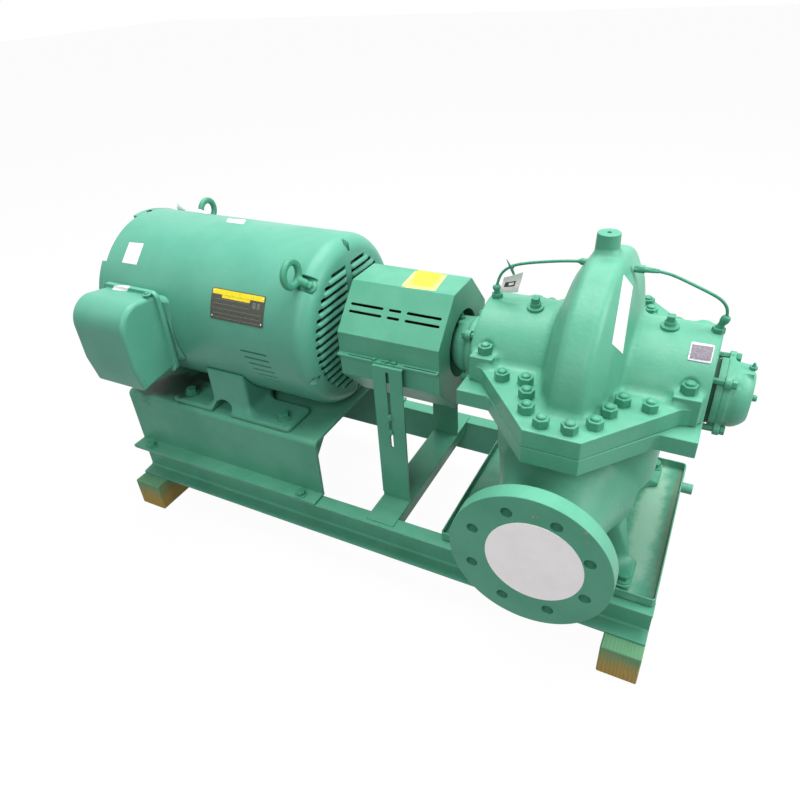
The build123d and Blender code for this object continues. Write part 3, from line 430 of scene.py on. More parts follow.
# %% [markdown]
# *Chip spots*: small places where the paint has come off, kept rare, with ragged borders. Round cells
# give the places, and a noise takes most of them away again and roughens the edge of the rest.

# %% Chip spots


def build_chip_spots():
    """Where paint is missing: small rare spots with ragged borders."""
    group, given, result = shader_group(
        "chip_spots",
        [("Place", "NodeSocketVector", None), ("Spot Scale", "NodeSocketFloat", 45.0),
         ("Rarity", "NodeSocketFloat", 0.045)],
        [("Mask", "NodeSocketFloat")])
    cells = group.nodes.new("ShaderNodeTexVoronoi")
    group.links.new(given["Place"], cells.inputs["Vector"])
    group.links.new(given["Spot Scale"], cells.inputs["Scale"])
    ragged = noise(group, given["Place"], 420.0, 3.0, 0.6)
    where = noise(group, given["Place"], 7.0, 2.0, 0.5)
    reach = sums(group, "MULTIPLY", remap(group, where, 0.5, 0.75), given["Rarity"])
    edge = sums(group, "ADD", cells.outputs["Distance"], sums(group, "MULTIPLY", ragged, 0.16))
    spot = remap(group, edge, 0.12, sums(group, "ADD", reach, 0.1201), 1.0, 0.0)
    here = remap(group, reach, 0.001, 0.02)
    group.links.new(sums(group, "MULTIPLY", spot, here), result["Mask"])
    return group


chip_spots = build_chip_spots()
print("nodes in the chips:", len(chip_spots.nodes))

# %% [markdown]
# *Stain*: dirt and bare spots lie in known places, in the drip pan and on the flange's face, and grime with
# painted shade lies under the motor. A stain is a ragged patch round one point, so it stays on its spot
# from every side. The distance to that point is measured with Y squeezed, which draws the patch out along
# Y.

# %% Stain


def build_stain_and_shade():
    """Another colour laid over the first in a ragged patch, for stains and for painted shade; Squeeze is
    one for a round patch.
    """
    group, given, result = shader_group(
        "stain",
        [("Place", "NodeSocketVector", None), ("Color", "NodeSocketColor", (0.1, 0.4, 0.25, 1)),
         ("Centre", "NodeSocketVector", (0.0, 0.0, 0.0)), ("Radius", "NodeSocketFloat", 0.05),
         ("Stain Color", "NodeSocketColor", (0.02, 0.02, 0.02, 1)), ("Amount", "NodeSocketFloat", 0.8),
         ("Squeeze", "NodeSocketFloat", 1.0)],
        [("Color", "NodeSocketColor")])
    squeeze = group.nodes.new("ShaderNodeCombineXYZ")
    feed(group, squeeze.inputs["X"], 1.0)
    feed(group, squeeze.inputs["Y"], given["Squeeze"])
    feed(group, squeeze.inputs["Z"], 1.0)
    apart = group.nodes.new("ShaderNodeVectorMath")
    apart.operation = "DISTANCE"
    feed(group, apart.inputs[0], stretch(group, given["Place"], squeeze.outputs["Vector"]))
    feed(group, apart.inputs[1], given["Centre"])
    inner = sums(group, "MULTIPLY", given["Radius"], 1.1)
    outer = sums(group, "MULTIPLY", given["Radius"], 1.65)
    ragged = noise(group, given["Place"], sums(group, "DIVIDE", 1.1, given["Radius"]), 4.0, 0.65)
    reach = sums(group, "ADD", apart.outputs["Value"], sums(group, "MULTIPLY", ragged, inner))
    mask = remap(group, reach, inner, outer, given["Amount"], 0.0)
    group.links.new(blend_colour(group, mask, given["Color"], given["Stain Color"]), result["Color"])
    return group


stain_and_shade_patch = build_stain_and_shade()
print("nodes in the stain:", len(stain_and_shade_patch.nodes))

# %% [markdown]
# *Speckle*: paper, print, film, rubber and bare metal seen from some way off are two tones in fine
# spots, with a relief that is finer still. One noise gives the spots and another the relief.

# %% Speckle


def build_speckle():
    """Spots of zero to one at a scale, and the height of a relief two and a half times as fine."""
    group, given, result = shader_group(
        "speckle",
        [("Place", "NodeSocketVector", None), ("Scale", "NodeSocketFloat", 90.0)],
        [("Spots", "NodeSocketFloat"), ("Height", "NodeSocketFloat")])
    spots = remap(group, noise(group, given["Place"], given["Scale"], 4.0, 0.6), 0.35, 0.7)
    finer = sums(group, "MULTIPLY", given["Scale"], 2.5)
    group.links.new(spots, result["Spots"])
    group.links.new(noise(group, given["Place"], finer, 2.0, 0.5), result["Height"])
    return group


speckle = build_speckle()
print("shared groups:", len(bpy.data.node_groups))

# %% [markdown]
# ## The enamel finishes
#
# One sea green enamel was sprayed over everything on the base. The finishes differ in what is under the
# paint: rough castings, plain plate, the smooth motor frame and small hardware. All use the same recipe
# with their own sizes: tone, dust, chips down to the brown primer, and a bump.

# %% Enamel colours
GREEN = srgb(84, 156, 130)
GREEN_THIN = srgb(76, 147, 121)
MOTOR_GREEN = srgb(86, 156, 134)
MOTOR_THIN = srgb(80, 150, 128)
HARDWARE_GREEN = srgb(70, 148, 120)
HARDWARE_THIN = srgb(56, 128, 102)
DUST = srgb(150, 184, 166)
# The near-black green below is grime and also painted shade under the motor.
GRIME_AND_SHADE = srgb(40, 46, 36)
PRIMER = srgb(96, 62, 46)
BARE_RED = srgb(172, 132, 112)
PAN_DIRT = srgb(112, 116, 94)
PAN_FILM = srgb(150, 190, 168)
# The two colours below are painted shade: the enamel darkened for the deep gaps beside the bearings.
GAP_SHADE_GREEN = srgb(30, 84, 64)
GAP_SHADE_THIN = srgb(26, 62, 48)
print("enamel in linear light:", [round(part, 3) for part in GREEN[:3]])

# %% [markdown]
# Each material starts from its own Principled BSDF and the Object coordinates. A bump turns a grain of
# zero to one into a relief of so many metres.

# %% A new material and its bump


def new_material(name):
    """A material, its node tree, its shader and its Object coordinates."""
    material = bpy.data.materials.new(name)
    material.use_nodes = True
    tree = material.node_tree
    place = tree.nodes.new("ShaderNodeTexCoord").outputs["Object"]
    return material, tree, tree.nodes["Principled BSDF"], place


def bump(tree, surface, height, distance):
    """Turns a 0 to 1 height into relief of so many metres."""
    node = tree.nodes.new("ShaderNodeBump")
    node.inputs["Distance"].default_value = distance
    node.inputs["Strength"].default_value = 1.0
    tree.links.new(height, node.inputs["Height"])
    tree.links.new(node.outputs["Normal"], surface.inputs["Normal"])


# %% [markdown]
# The recipe itself. Colour, gloss and relief all read the same chips, so that a bare spot is brown,
# dull and a little sunk at once.

# %% The enamel recipe


def enamel(name, paint, thin, roughness, relief, peel, bumps, bump_scale, dust, rarity, stains_and_shade=()):
    """The recipe for one kind of metal. The relief is in metres, and a higher rarity gives more chips."""
    material, tree, surface, place = new_material(name)
    facing = tree.nodes.new("ShaderNodeTexCoord").outputs["Normal"]
    tone = use_group(tree, enamel_tone, Place=place, Paint=paint, Thin_Coat=thin, Patch_Scale=8.0)
    film = use_group(tree, dust_film, Place=place, Facing=facing, Amount=dust)["Mask"]
    chips = use_group(tree, chip_spots, Place=place, Spot_Scale=45.0, Rarity=rarity)["Mask"]
    dusty = blend_colour(tree, film, tone["Color"], DUST)
    colour = blend_colour(tree, chips, dusty, PRIMER)
    # The patches are stains, and grime with painted shade under the motor.
    for centre, radius, dirt_and_shade, amount, squeeze in stains_and_shade:
        colour = use_group(tree, stain_and_shade_patch, Place=place, Color=colour, Centre=centre, Radius=radius,
                           Stain_Color=dirt_and_shade, Amount=amount, Squeeze=squeeze)["Color"]
    tree.links.new(colour, surface.inputs["Base Color"])
    sheen = remap(tree, tone["Cloud"], 0.3, 0.75, roughness, roughness + 0.14)
    dull = sums(tree, "MAXIMUM", sheen, sums(tree, "MULTIPLY", chips, 0.8))
    tree.links.new(sums(tree, "ADD", dull, sums(tree, "MULTIPLY", film, 0.3)), surface.inputs["Roughness"])
    surface.inputs["Specular IOR Level"].default_value = 0.25
    grain = use_group(tree, surface_grain, Place=place, Peel_Scale=900.0, Peel=peel,
                      Bump_Scale=bump_scale, Bumps=bumps)["Height"]
    sunk = sums(tree, "SUBTRACT", grain, sums(tree, "MULTIPLY", chips, 0.25))
    bump(tree, surface, sunk, relief)
    return material


# %% [markdown]
# The castings have the coarsest grain and the plates a finer one. The hardware has a thick darker coat
# with a strong orange peel. The shaded paint is the enamel darkened as painted shade, for the deep gaps
# beside the bearings where the shade falls.

# %% Enamel on castings, plate and hardware
casting_paint = enamel("painted_casting", GREEN, GREEN_THIN, roughness=0.36, relief=0.0007,
                       peel=0.06, bumps=0.8, bump_scale=120.0, dust=0.12, rarity=0.03)
steel_paint = enamel("painted_steel", GREEN, GREEN_THIN, roughness=0.38, relief=0.0003,
                     peel=0.12, bumps=0.35, bump_scale=60.0, dust=0.1, rarity=0.03)
motor_paint = enamel("motor_paint", MOTOR_GREEN, MOTOR_THIN, roughness=0.3, relief=0.0002,
                     peel=0.12, bumps=0.3, bump_scale=30.0, dust=0.05, rarity=0.015)
hardware_paint = enamel("painted_fasteners", HARDWARE_GREEN, HARDWARE_THIN, roughness=0.3, relief=0.0003,
                        peel=0.3, bumps=0.5, bump_scale=260.0, dust=0.1, rarity=0.03)
tubing_paint = enamel("tubing", HARDWARE_GREEN, HARDWARE_THIN, roughness=0.32, relief=0.0002,
                      peel=0.2, bumps=0.3, bump_scale=200.0, dust=0.1, rarity=0.02)
# Painted shade: this enamel is darkened for the gaps where shade falls.
gap_shade_paint = enamel("shaded_paint", GAP_SHADE_GREEN, GAP_SHADE_THIN, roughness=0.5, relief=0.0003,
                   peel=0.3, bumps=0.5, bump_scale=200.0, dust=0.0, rarity=0.05)
print("nodes in an enamel:", len(casting_paint.node_tree.nodes))

# %% [markdown]
# Four finishes carry stains: bare red spots on the port flange's face, dark grime with painted shade on the
# pedestal and the motor's feet, where the motor's shade falls on them, and a dry film with dirt along the
# drip pan. Each stain is a place, a radius, a colour, an amount and a squeeze, which is one for a round
# patch and less for the pan's, which are drawn out along it.

# %% Enamel with stains
FLANGE_STAINS = (((0.4583, -0.411, 0.5173), 0.0032, BARE_RED, 0.9, 1.0),
                 ((0.4655, -0.411, 0.5190), 0.0018, BARE_RED, 0.9, 1.0),
                 ((0.5515, -0.411, 0.5162), 0.0036, BARE_RED, 0.8, 1.0),
                 ((0.5570, -0.411, 0.4950), 0.0016, BARE_RED, 0.9, 1.0))
# Painted shade under the motor, with some grime, on the pedestal's top and the motor's feet.
PEDESTAL_GRIME_AND_SHADE = (((-0.68, -0.15, 0.365), 0.075, GRIME_AND_SHADE, 0.85, 1.0),
                   ((-0.60, -0.08, 0.365), 0.08, GRIME_AND_SHADE, 0.8, 1.0),
                   ((-0.73, -0.19, 0.365), 0.045, GRIME_AND_SHADE, 0.75, 1.0),
                   ((-0.60, -0.17, 0.365), 0.05, GRIME_AND_SHADE, 0.8, 1.0))
PAN_STAINS = (((0.630, 0.002, 0.194), 0.034, PAN_FILM, 0.75, 0.12),
              ((0.680, 0.002, 0.194), 0.011, PAN_DIRT, 0.55, 0.03))

flange_paint = enamel("painted_flange", GREEN, GREEN_THIN, roughness=0.36, relief=0.0005, peel=0.06,
                      bumps=0.8, bump_scale=120.0, dust=0.1, rarity=0.03, stains_and_shade=FLANGE_STAINS)
pedestal_paint = enamel("painted_pedestal", GREEN, GREEN_THIN, roughness=0.38, relief=0.0003, peel=0.12,
                        bumps=0.35, bump_scale=60.0, dust=0.1, rarity=0.05, stains_and_shade=PEDESTAL_GRIME_AND_SHADE)
pan_paint = enamel("painted_pan", GREEN, GREEN_THIN, roughness=0.4, relief=0.0003, peel=0.12,
                   bumps=0.35, bump_scale=60.0, dust=0.35, rarity=0.03, stains_and_shade=PAN_STAINS)
# The motor's feet take the same painted shade under the motor.
foot_paint = enamel("painted_feet", MOTOR_GREEN, MOTOR_THIN, roughness=0.36, relief=0.0004, peel=0.1,
                    bumps=0.5, bump_scale=100.0, dust=0.05, rarity=0.03, stains_and_shade=PEDESTAL_GRIME_AND_SHADE)
print("stains:", len(FLANGE_STAINS) + len(PEDESTAL_GRIME_AND_SHADE) + len(PAN_STAINS))

# %% [markdown]
# ## Timber
#
# The skids are rough sawn softwood. Long grain runs along the skid and closes into rings at its ends:
# distorted distance from a far pith line gives both with one pattern, because the pith runs along the
# skid. The green overspray is thickest on top and fades down the sides.

# %% Timber
WOOD_LIGHT = srgb(186, 160, 92)
WOOD_DARK = srgb(163, 137, 77)
OVERSPRAY = srgb(84, 150, 116)


def timber_material():
    """Sawn softwood with rings and fibres, under green fog that thins out downward."""
    material, tree, surface, place = new_material("timber")
    facing = tree.nodes.new("ShaderNodeTexCoord").outputs["Normal"]
    parts = tree.nodes.new("ShaderNodeSeparateXYZ")
    tree.links.new(place, parts.inputs["Vector"])
    wander = noise(tree, stretch(tree, place, (9.0, 1.6, 9.0)), 1.0, 3.0, 0.5)
    bent = tree.nodes.new("ShaderNodeVectorMath")
    bent.operation = "ADD"
    tree.links.new(stretch(tree, place, (1.0, 0.02, 1.0)), bent.inputs[0])
    shift = tree.nodes.new("ShaderNodeCombineXYZ")
    tree.links.new(sums(tree, "MULTIPLY", wander, 0.03), shift.inputs["X"])
    tree.links.new(sums(tree, "MULTIPLY", wander, 0.05), shift.inputs["Z"])
    tree.links.new(shift.outputs["Vector"], bent.inputs[1])
    rings = tree.nodes.new("ShaderNodeTexWave")
    rings.wave_type = "RINGS"
    rings.rings_direction = "Y"
    rings.inputs["Scale"].default_value = 38.0
    rings.inputs["Distortion"].default_value = 3.0
    rings.inputs["Detail"].default_value = 2.0
    tree.links.new(bent.outputs["Vector"], rings.inputs["Vector"])
    fibres = noise(tree, stretch(tree, place, (900.0, 14.0, 900.0)), 1.0, 2.0, 0.6)
    rings_share = sums(tree, "MULTIPLY", rings.outputs["Fac"], 0.6)
    grain = sums(tree, "ADD", rings_share, sums(tree, "MULTIPLY", fibres, 0.4))
    wood = blend_colour(tree, grain, WOOD_DARK, WOOD_LIGHT)
    normal = tree.nodes.new("ShaderNodeSeparateXYZ")
    tree.links.new(facing, normal.inputs["Vector"])
    upward = remap(tree, normal.outputs["Z"], 0.3, 0.9)
    drift = noise(tree, place, 38.0, 4.0, 0.65)
    height = sums(tree, "ADD", parts.outputs["Z"], sums(tree, "MULTIPLY", drift, 0.06))
    fog = remap(tree, height, 0.050, 0.128, 0.0, 0.9)
    cover = sums(tree, "MAXIMUM", fog, sums(tree, "MULTIPLY", upward, 0.9))
    tree.links.new(blend_colour(tree, cover, wood, OVERSPRAY), surface.inputs["Base Color"])
    surface.inputs["Roughness"].default_value = 0.82
    surface.inputs["Specular IOR Level"].default_value = 0.2
    bump(tree, surface, grain, 0.0006)
    return material


timber_finish = timber_material()
print("timber nodes:", len(timber_finish.node_tree.nodes))

# %% [markdown]
# ## Film, rubber, paper and the small plates
#
# The discs over the ports are white film on board, the coupling is black rubber, and the plates are thin
# etched metal with plain fields and rules. All of them have two tones of one colour, which is all that
# their size lets a viewer see. After its tones each says how fine its speckles are, how rough it is and
# how high its relief is in metres; the two bare metals also say how metallic they are.

# %% Small finishes


def speckled(name, first, second, scale, roughness, relief, metallic=0.0):
    """A small finish with two tones of the same colour and a slight relief."""
    material, tree, surface, place = new_material(name)
    grain = use_group(tree, speckle, Place=place, Scale=scale)
    spots = grain["Spots"]
    tree.links.new(blend_colour(tree, spots, first, second), surface.inputs["Base Color"])
    tree.links.new(remap(tree, spots, 0.0, 1.0, roughness, roughness + 0.12), surface.inputs["Roughness"])
    surface.inputs["Metallic"].default_value = metallic
    bump(tree, surface, grain["Height"], relief)
    return material


film_white = speckled("cover_film", srgb(252, 249, 251), srgb(247, 243, 246), 18.0, 0.35, 0.0003)
rubber_black = speckled("coupling_rubber", srgb(26, 27, 27), srgb(40, 41, 40), 60.0, 0.7, 0.0003)
paper_white = speckled("paper_white", srgb(232, 228, 226), srgb(222, 219, 216), 160.0, 0.6, 0.0001)
label_yellow = speckled("label_yellow", srgb(208, 190, 28), srgb(200, 188, 60), 70.0, 0.5, 0.0001)
label_cream = speckled("label_cream", srgb(204, 198, 122), srgb(196, 190, 96), 70.0, 0.5, 0.0001)
plate_dark = speckled("motor_plate", srgb(34, 40, 34), srgb(84, 86, 76), 520.0, 0.5, 0.0001)
plate_yellow = speckled("plate_yellow", srgb(236, 216, 30), srgb(222, 196, 22), 120.0, 0.45, 0.0001)
plate_rule = speckled("plate_rule", srgb(112, 116, 104), srgb(84, 90, 78), 200.0, 0.5, 0.0001)
plate_metal = speckled("tag_plate", srgb(176, 172, 182), srgb(140, 138, 146), 500.0, 0.4, 0.0001, 0.3)
tag_dark = speckled("tag_field", srgb(84, 76, 86), srgb(124, 116, 128), 240.0, 0.5, 0.0001)
ink_black = speckled("ink_black", srgb(30, 32, 32), srgb(46, 48, 48), 90.0, 0.6, 0.0001)
bright_metal = speckled("bright_metal", srgb(196, 198, 196), srgb(160, 166, 162), 300.0, 0.3, 0.0001, 0.8)
# Painted shade: a near-black green that stands for the shade inside holes and slots.
painted_hole_shade = speckled("painted_hole_shade", srgb(6, 26, 18), srgb(12, 36, 26), 90.0, 0.7, 0.0001)
print("materials:", len(bpy.data.materials))

# %% [markdown]
# ## Main places
#
# Three sizes place most of what follows: the height of the shaft, the middle of the pump along it, and
# the radius of the motor's barrel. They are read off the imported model.

# %% Main places
SHAFT_Z = 0.594
PUMP_X = 0.455
MOTOR_R = 0.2165
print("shaft height:", SHAFT_Z, "m")

# %% [markdown]
# ## Copies with rounded edges
#
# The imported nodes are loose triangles. A copy is merged first, and its coplanar triangles become whole
# faces again, so that only real edges are left to round. A Bevel modifier would do on the node itself,
# but it would catch the seams between triangles too.

# %% Merged copies and rounded edges
WELD = 0.00002
FLAT_BELOW = math.radians(0.8)
ROUND_ABOVE = math.radians(28.0)


def node_bmesh(name):
    """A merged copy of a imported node, its flat faces whole again."""
    bm = bmesh.new()
    bm.from_mesh(nodes[name].data)
    bmesh.ops.remove_doubles(bm, verts=bm.verts, dist=WELD)
    bmesh.ops.dissolve_limit(bm, angle_limit=FLAT_BELOW, verts=bm.verts, edges=bm.edges)
    return bm


def round_edges(bm, width, segments=2, spare=None):
    """Rounds the edges that turn by more than ROUND_ABOVE, apart from those that spare names."""
    edges = [e for e in bm.edges if len(e.link_faces) == 2 and e.calc_face_angle(0.0) > ROUND_ABOVE]
    if spare:
        edges = [e for e in edges if not spare(e)]
    bmesh.ops.bevel(bm, geom=edges, offset=width, offset_type="OFFSET", segments=segments, profile=0.5,
                    affect="EDGES", clamp_overlap=False, material=-1)
    return bm


def outward(bm):
    """Turns every face outward."""
    bmesh.ops.recalc_face_normals(bm, faces=bm.faces)
    return bm


# %% [markdown]
# A finished mesh becomes a piece in one place. Its faces are smooth apart from the edges that stay
# sharp, it carries one material and rides on a body, and the imported nodes that it stands for are hidden.

# %% Pieces
SHARP_ABOVE = math.radians(50.0)


def make_piece(name, bm, material, stands_for=()):
    """Turns a bmesh into a smooth piece that rides on the set."""
    for face in bm.faces:
        face.smooth = True
    for edge in bm.edges:
        edge.smooth = len(edge.link_faces) != 2 or edge.calc_face_angle(0.0) < SHARP_ABOVE
    mesh = bpy.data.meshes.new(name)
    bm.to_mesh(mesh)
    bm.free()
    piece = bpy.data.objects.new(name, mesh)
    bpy.context.scene.collection.objects.link(piece)
    piece.data.materials.append(material)
    if stands_for:
        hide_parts(*stands_for)
    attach(piece, "root")
    return piece


def keep_flats(piece):
    """Flat faces keep one even shade next to their rounded edges."""
    settle = piece.modifiers.new("even_shade", "WEIGHTED_NORMAL")
    settle.keep_sharp = True
    return piece


def rounded_copy(name, width, material, spare=None, reshape=None):
    """The node again with its sharp edges rounded by so many metres."""
    bm = node_bmesh(name)
    if reshape:
        reshape(bm)
    round_edges(bm, width, spare=spare)
    return keep_flats(make_piece(name + "_finished", bm, material, (name,)))


# %% [markdown]
# ## Base: rails, cross channel, pan, pedestal and skids
#
# Rolled steel and bent plate keep crisp edges with about a millimetre of rounding, and the paint lies
# over it. The bevel follows every edge that turns by more than 28 degrees, so round bends stay as they
# are. The skids are sawn, with worn corners.

# %% Base
for name, width in (("rail_front", 0.0009), ("rail_rear", 0.0009), ("cross_channel", 0.0009),
                    ("drain_nipple", 0.0008)):
    rounded_copy(name, width, steel_paint)
rounded_copy("drip_pan", 0.0006, pan_paint)
rounded_copy("motor_pedestal", 0.0012, pedestal_paint)
rounded_copy("pedestal_bolts", 0.0009, hardware_paint)
for name in ("timber_motor_end", "timber_pump_end"):
    rounded_copy(name, 0.001, timber_finish)

# %% [markdown]
# ## Castings
#
# A casting is resampled on a fine grid, grown, eased and shrunk again: that closes every inner corner
# with the fillet that a sand mould needs, and leaves the outer edges softly round. A bevel can't do
# that where a curved volute meets a flat flange, so this way was chosen.

# %% Casting helpers
EASE_PASSES = 2


def join(bm, part):
    """Moves the faces of one bmesh into another."""
    mesh = bpy.data.meshes.new("part")
    part.to_mesh(mesh)
    part.free()
    bm.from_mesh(mesh)
    bpy.data.meshes.remove(mesh)


def loose_object(name, bm):
    """A bmesh as a plain object for a modifier to work on. It is no piece and is removed after use."""
    mesh = bpy.data.meshes.new(name)
    bm.to_mesh(mesh)
    bm.free()
    holder = bpy.data.objects.new(name, mesh)
    bpy.context.scene.collection.objects.link(holder)
    return holder


def add_ease(pattern, name):
    """A gentle smoothing that takes off the steps of the grid."""
    ease = pattern.modifiers.new(name, "SMOOTH")
    ease.factor = 0.5
    ease.iterations = EASE_PASSES


# %% [markdown]
# The order matters: an optional cut comes first, then the grid, then the outward step that drowns the
# inner corners, and last the same step inward. Both steps move each vertex along its own normal.

# %% Castings


def cast_bmesh(bm, voxel, fillet, cutter=None):
    """Resamples a solid on a grid and closes its inner corners with a fillet, after an optional cut."""
    pattern = loose_object("pattern", bm)
    if cutter:
        cut = pattern.modifiers.new("cut", "BOOLEAN")
        cut.operation = "DIFFERENCE"
        cut.solver = "EXACT"
        cut.object = cutter
    for step, strength in enumerate((fillet, -fillet)):
        remesh = pattern.modifiers.new("grid" + str(step), "REMESH")
        remesh.mode = "VOXEL"
        remesh.voxel_size = voxel
        add_ease(pattern, "ease" + str(step))
        grow = pattern.modifiers.new("grow" + str(step), "DISPLACE")
        grow.mid_level = 0.0
        grow.strength = strength
    add_ease(pattern, "final")
    seen = pattern.evaluated_get(bpy.context.evaluated_depsgraph_get())
    result = bpy.data.meshes.new_from_object(seen)
    bpy.data.objects.remove(pattern)
    if cutter:
        bpy.data.objects.remove(cutter)
    out = bmesh.new()
    out.from_mesh(result)
    bpy.data.meshes.remove(result)
    return out


def cast_copy(name, voxel, fillet, material):
    """The node again as a casting."""
    bm = cast_bmesh(node_bmesh(name), voxel, fillet)
    print(name, "cast faces:", len(bm.faces))
    return make_piece(name + "_cast", bm, material, (name,))


# %% [markdown]
# ## Turned, flat and drawn-out forms
#
# Most small parts are one of three forms: flat, turned or drawn out. A flat part is one face, extruded.

# %% Flat forms


def extrude_by(bm, faces, offset):
    """Extrudes faces and moves the new ones by an offset. Returns the new vertices."""
    made = bmesh.ops.extrude_face_region(bm, geom=faces)
    moved = [item for item in made["geom"] if isinstance(item, bmesh.types.BMVert)]
    bmesh.ops.translate(bm, verts=moved, vec=offset)
    return moved


def prism(bm, outline, low, high):
    """Adds an upright plate: one face from an outline in X and Y, extruded upward."""
    corners = [bm.verts.new((x, y, low)) for x, y in outline]
    extrude_by(bm, [bm.faces.new(corners)], (0, 0, high - low))


# %% [markdown]
# A turned part is its profile spun round an axis, as on a lathe. The axis stands upright or lies along
# the shaft. A profile that ends beside the axis is closed there, and one that is a ring is looped.

# %% Turned forms
ALONG_SHAFT = Matrix(((0, 0, 1), (1, 0, 0), (0, 1, 0))).to_4x4()
UPRIGHT = Matrix.Identity(4)


def lathe(bm, centre, profile, count, turn=0.0, axis=UPRIGHT, looped=False, capped=True):
    """Adds a profile of (radius, level) pairs, spun in so many steps round an axis through centre."""
    part = bmesh.new()
    verts = [part.verts.new((radius, 0.0, level)) for radius, level in profile]
    edges = [part.edges.new(pair) for pair in zip(verts, verts[1:])]
    if looped:
        edges.append(part.edges.new((verts[-1], verts[0])))
    bmesh.ops.spin(part, geom=verts + edges, cent=(0, 0, 0), axis=(0, 0, 1), angle=2 * math.pi,
                   steps=count, use_merge=True)
    if capped:
        bmesh.ops.holes_fill(part, edges=part.edges[:], sides=0)
    place = Matrix.Translation(centre) @ axis @ Matrix.Rotation(turn, 4, "Z")
    bmesh.ops.transform(part, matrix=place, verts=part.verts)
    join(bm, part)


# %% [markdown]
# A bar that changes along its length is a row of loops bridged to each other, and closed at both ends.

# %% Drawn-out forms


def skin(bm, loops):
    """Adds a closed skin over a row of matching loops of points."""
    part = bmesh.new()
    rims = []
    for loop in loops:
        verts = [part.verts.new(point) for point in loop]
        rims.append([part.edges.new(pair) for pair in zip(verts, verts[1:] + verts[:1])])
    for first, second in zip(rims, rims[1:]):
        bmesh.ops.bridge_loops(part, edges=first + second)
    bmesh.ops.holes_fill(part, edges=rims[0] + rims[-1], sides=0)
    join(bm, part)


# %% [markdown]
# ## Motor
#
# The frame is a rolled barrel between two louvred covers; the joints between them are filled with paint,
# so those edges stay unrounded.

# %% Motor barrel and covers
JOINT_X = (-0.188, -0.732)
NEAR = 0.001


def on_barrel_joint(edge):
    """True on the round joints between the barrel and its covers."""
    first, second = edge.verts[0].co, edge.verts[1].co
    level = abs(first.x - second.x) < 0.0001
    at_joint = min(abs(first.x - x) for x in JOINT_X) < NEAR
    return level and at_joint and math.hypot(first.y, first.z - SHAFT_Z) > MOTOR_R - NEAR


motor_body = rounded_copy("motor_body", 0.0005, motor_paint, spare=on_barrel_joint)
for name in ("drive_end_cover", "rear_end_cover"):
    rounded_copy(name, 0.0014, motor_paint, spare=on_barrel_joint)
print("faces on the barrel:", len(motor_body.data.polygons))

# %% [markdown]
# The terminal box is a deep pressed cover over a cast base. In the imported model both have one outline.
# On the real one the rim sits close to the cover and the base behind it is wider and lower, so the
# copy's vertices are scaled round the box's middle, by depth. A small lug with a screw stands on top.

# %% Terminal box
BOX_CENTRE_X = -0.6315
BOX_MIDDLE_Z = SHAFT_Z + 0.007
BOX_RIM_Y = -0.240
BOX_BASE_Y = BOX_RIM_Y + 0.0125
RIM_FIT = (0.94, 0.933)
BASE_FIT = (1.12, 0.74)
EAR_PLACE = Vector((-0.5570, -0.2500, 0.7085))
EAR = ((0.0105, 0.0), (0.0105, 0.0025), (0.0085, 0.0035))
EAR_SCREW = ((0.0052, 0.0035), (0.0052, 0.0067), (0.0040, 0.0077), (0.0008, 0.0079))


def narrow_rim(bm):
    """Draws the terminal box's rim in, close to its cover, and sets the base behind it lower."""
    for vert in bm.verts:
        if vert.co.y > BOX_BASE_Y:
            wide, high = BASE_FIT
        elif vert.co.y > BOX_RIM_Y - 0.0005:
            wide, high = RIM_FIT
        else:
            continue
        vert.co.x = BOX_CENTRE_X + (vert.co.x - BOX_CENTRE_X) * wide
        if vert.co.z > BOX_MIDDLE_Z or vert.co.y < BOX_BASE_Y:
            vert.co.z = BOX_MIDDLE_Z + (vert.co.z - BOX_MIDDLE_Z) * high


def box_ear():
    """The small lug with its screw on top of the terminal box."""
    bm = bmesh.new()
    lathe(bm, EAR_PLACE, EAR, 20)
    lathe(bm, EAR_PLACE, EAR_SCREW, 6)
    return make_piece("terminal_box_screw", outward(bm), hardware_paint)


terminal_box = rounded_copy("terminal_box", 0.0016, motor_paint, reshape=narrow_rim)
box_ear()
print("faces on the terminal box:", len(terminal_box.data.polygons))

# %% [markdown]
# Each opening of a cover's grille has a pressed lip above it. A lip is a half-round bar across the strip
# between two openings, one on each side of the middle bar, a little shorter than the grille is wide
# there, with ends that fall away. Its section is the same all along, only its height changes, so the
# loops are bridged.

# %% Louvre lips
GRILLE_R = 0.172
LOUVRE_PITCH = 0.020
LOUVRE_BAR = 0.024
LIP_ROWS = 15
LIP_HEIGHT = 0.0125
LIP_OUT = 0.0065
LIP_SUNK = 0.0004
LIP_GAPS = (0.003, 0.010)
LIP_POINTS = 6
DRIVE_FACE_X = -0.140
REAR_FACE_X = -0.780


def lip_loop(face_x, direction, along, level, share):
    """The half-round section of a lip at one place along it."""
    loop = []
    for step in range(LIP_POINTS + 1):
        angle = math.pi * step / LIP_POINTS
        rise = LIP_HEIGHT / 2 * math.cos(angle)
        out = LIP_OUT * share * math.sin(angle) * (0.75 - 0.25 * math.cos(angle)) - LIP_SUNK
        loop.append((face_x + direction * out, along, SHAFT_Z + level + rise))
    return loop


def louvre_lips(name, face_x, direction):
    """The pressed lips over one cover's openings."""
    bm = bmesh.new()
    for row in range(LIP_ROWS):
        level = (row - (LIP_ROWS - 1) / 2) * LOUVRE_PITCH
        start = LOUVRE_BAR / 2 + LIP_GAPS[0]
        end = math.sqrt(GRILLE_R ** 2 - level ** 2) - LIP_GAPS[1]
        stations = ((start, 0.3), (start + 0.004, 0.9), (start + 0.010, 1.0),
                    (end - 0.010, 1.0), (end - 0.004, 0.9), (end, 0.3))
        for side in (-1, 1):
            skin(bm, [lip_loop(face_x, direction, side * along, level, share) for along, share in stations])
    return make_piece(name, outward(bm), motor_paint)


louvre_lips("drive_end_lips", DRIVE_FACE_X, 1)
louvre_lips("rear_end_lips", REAR_FACE_X, -1)
print("lips:", 4 * LIP_ROWS)

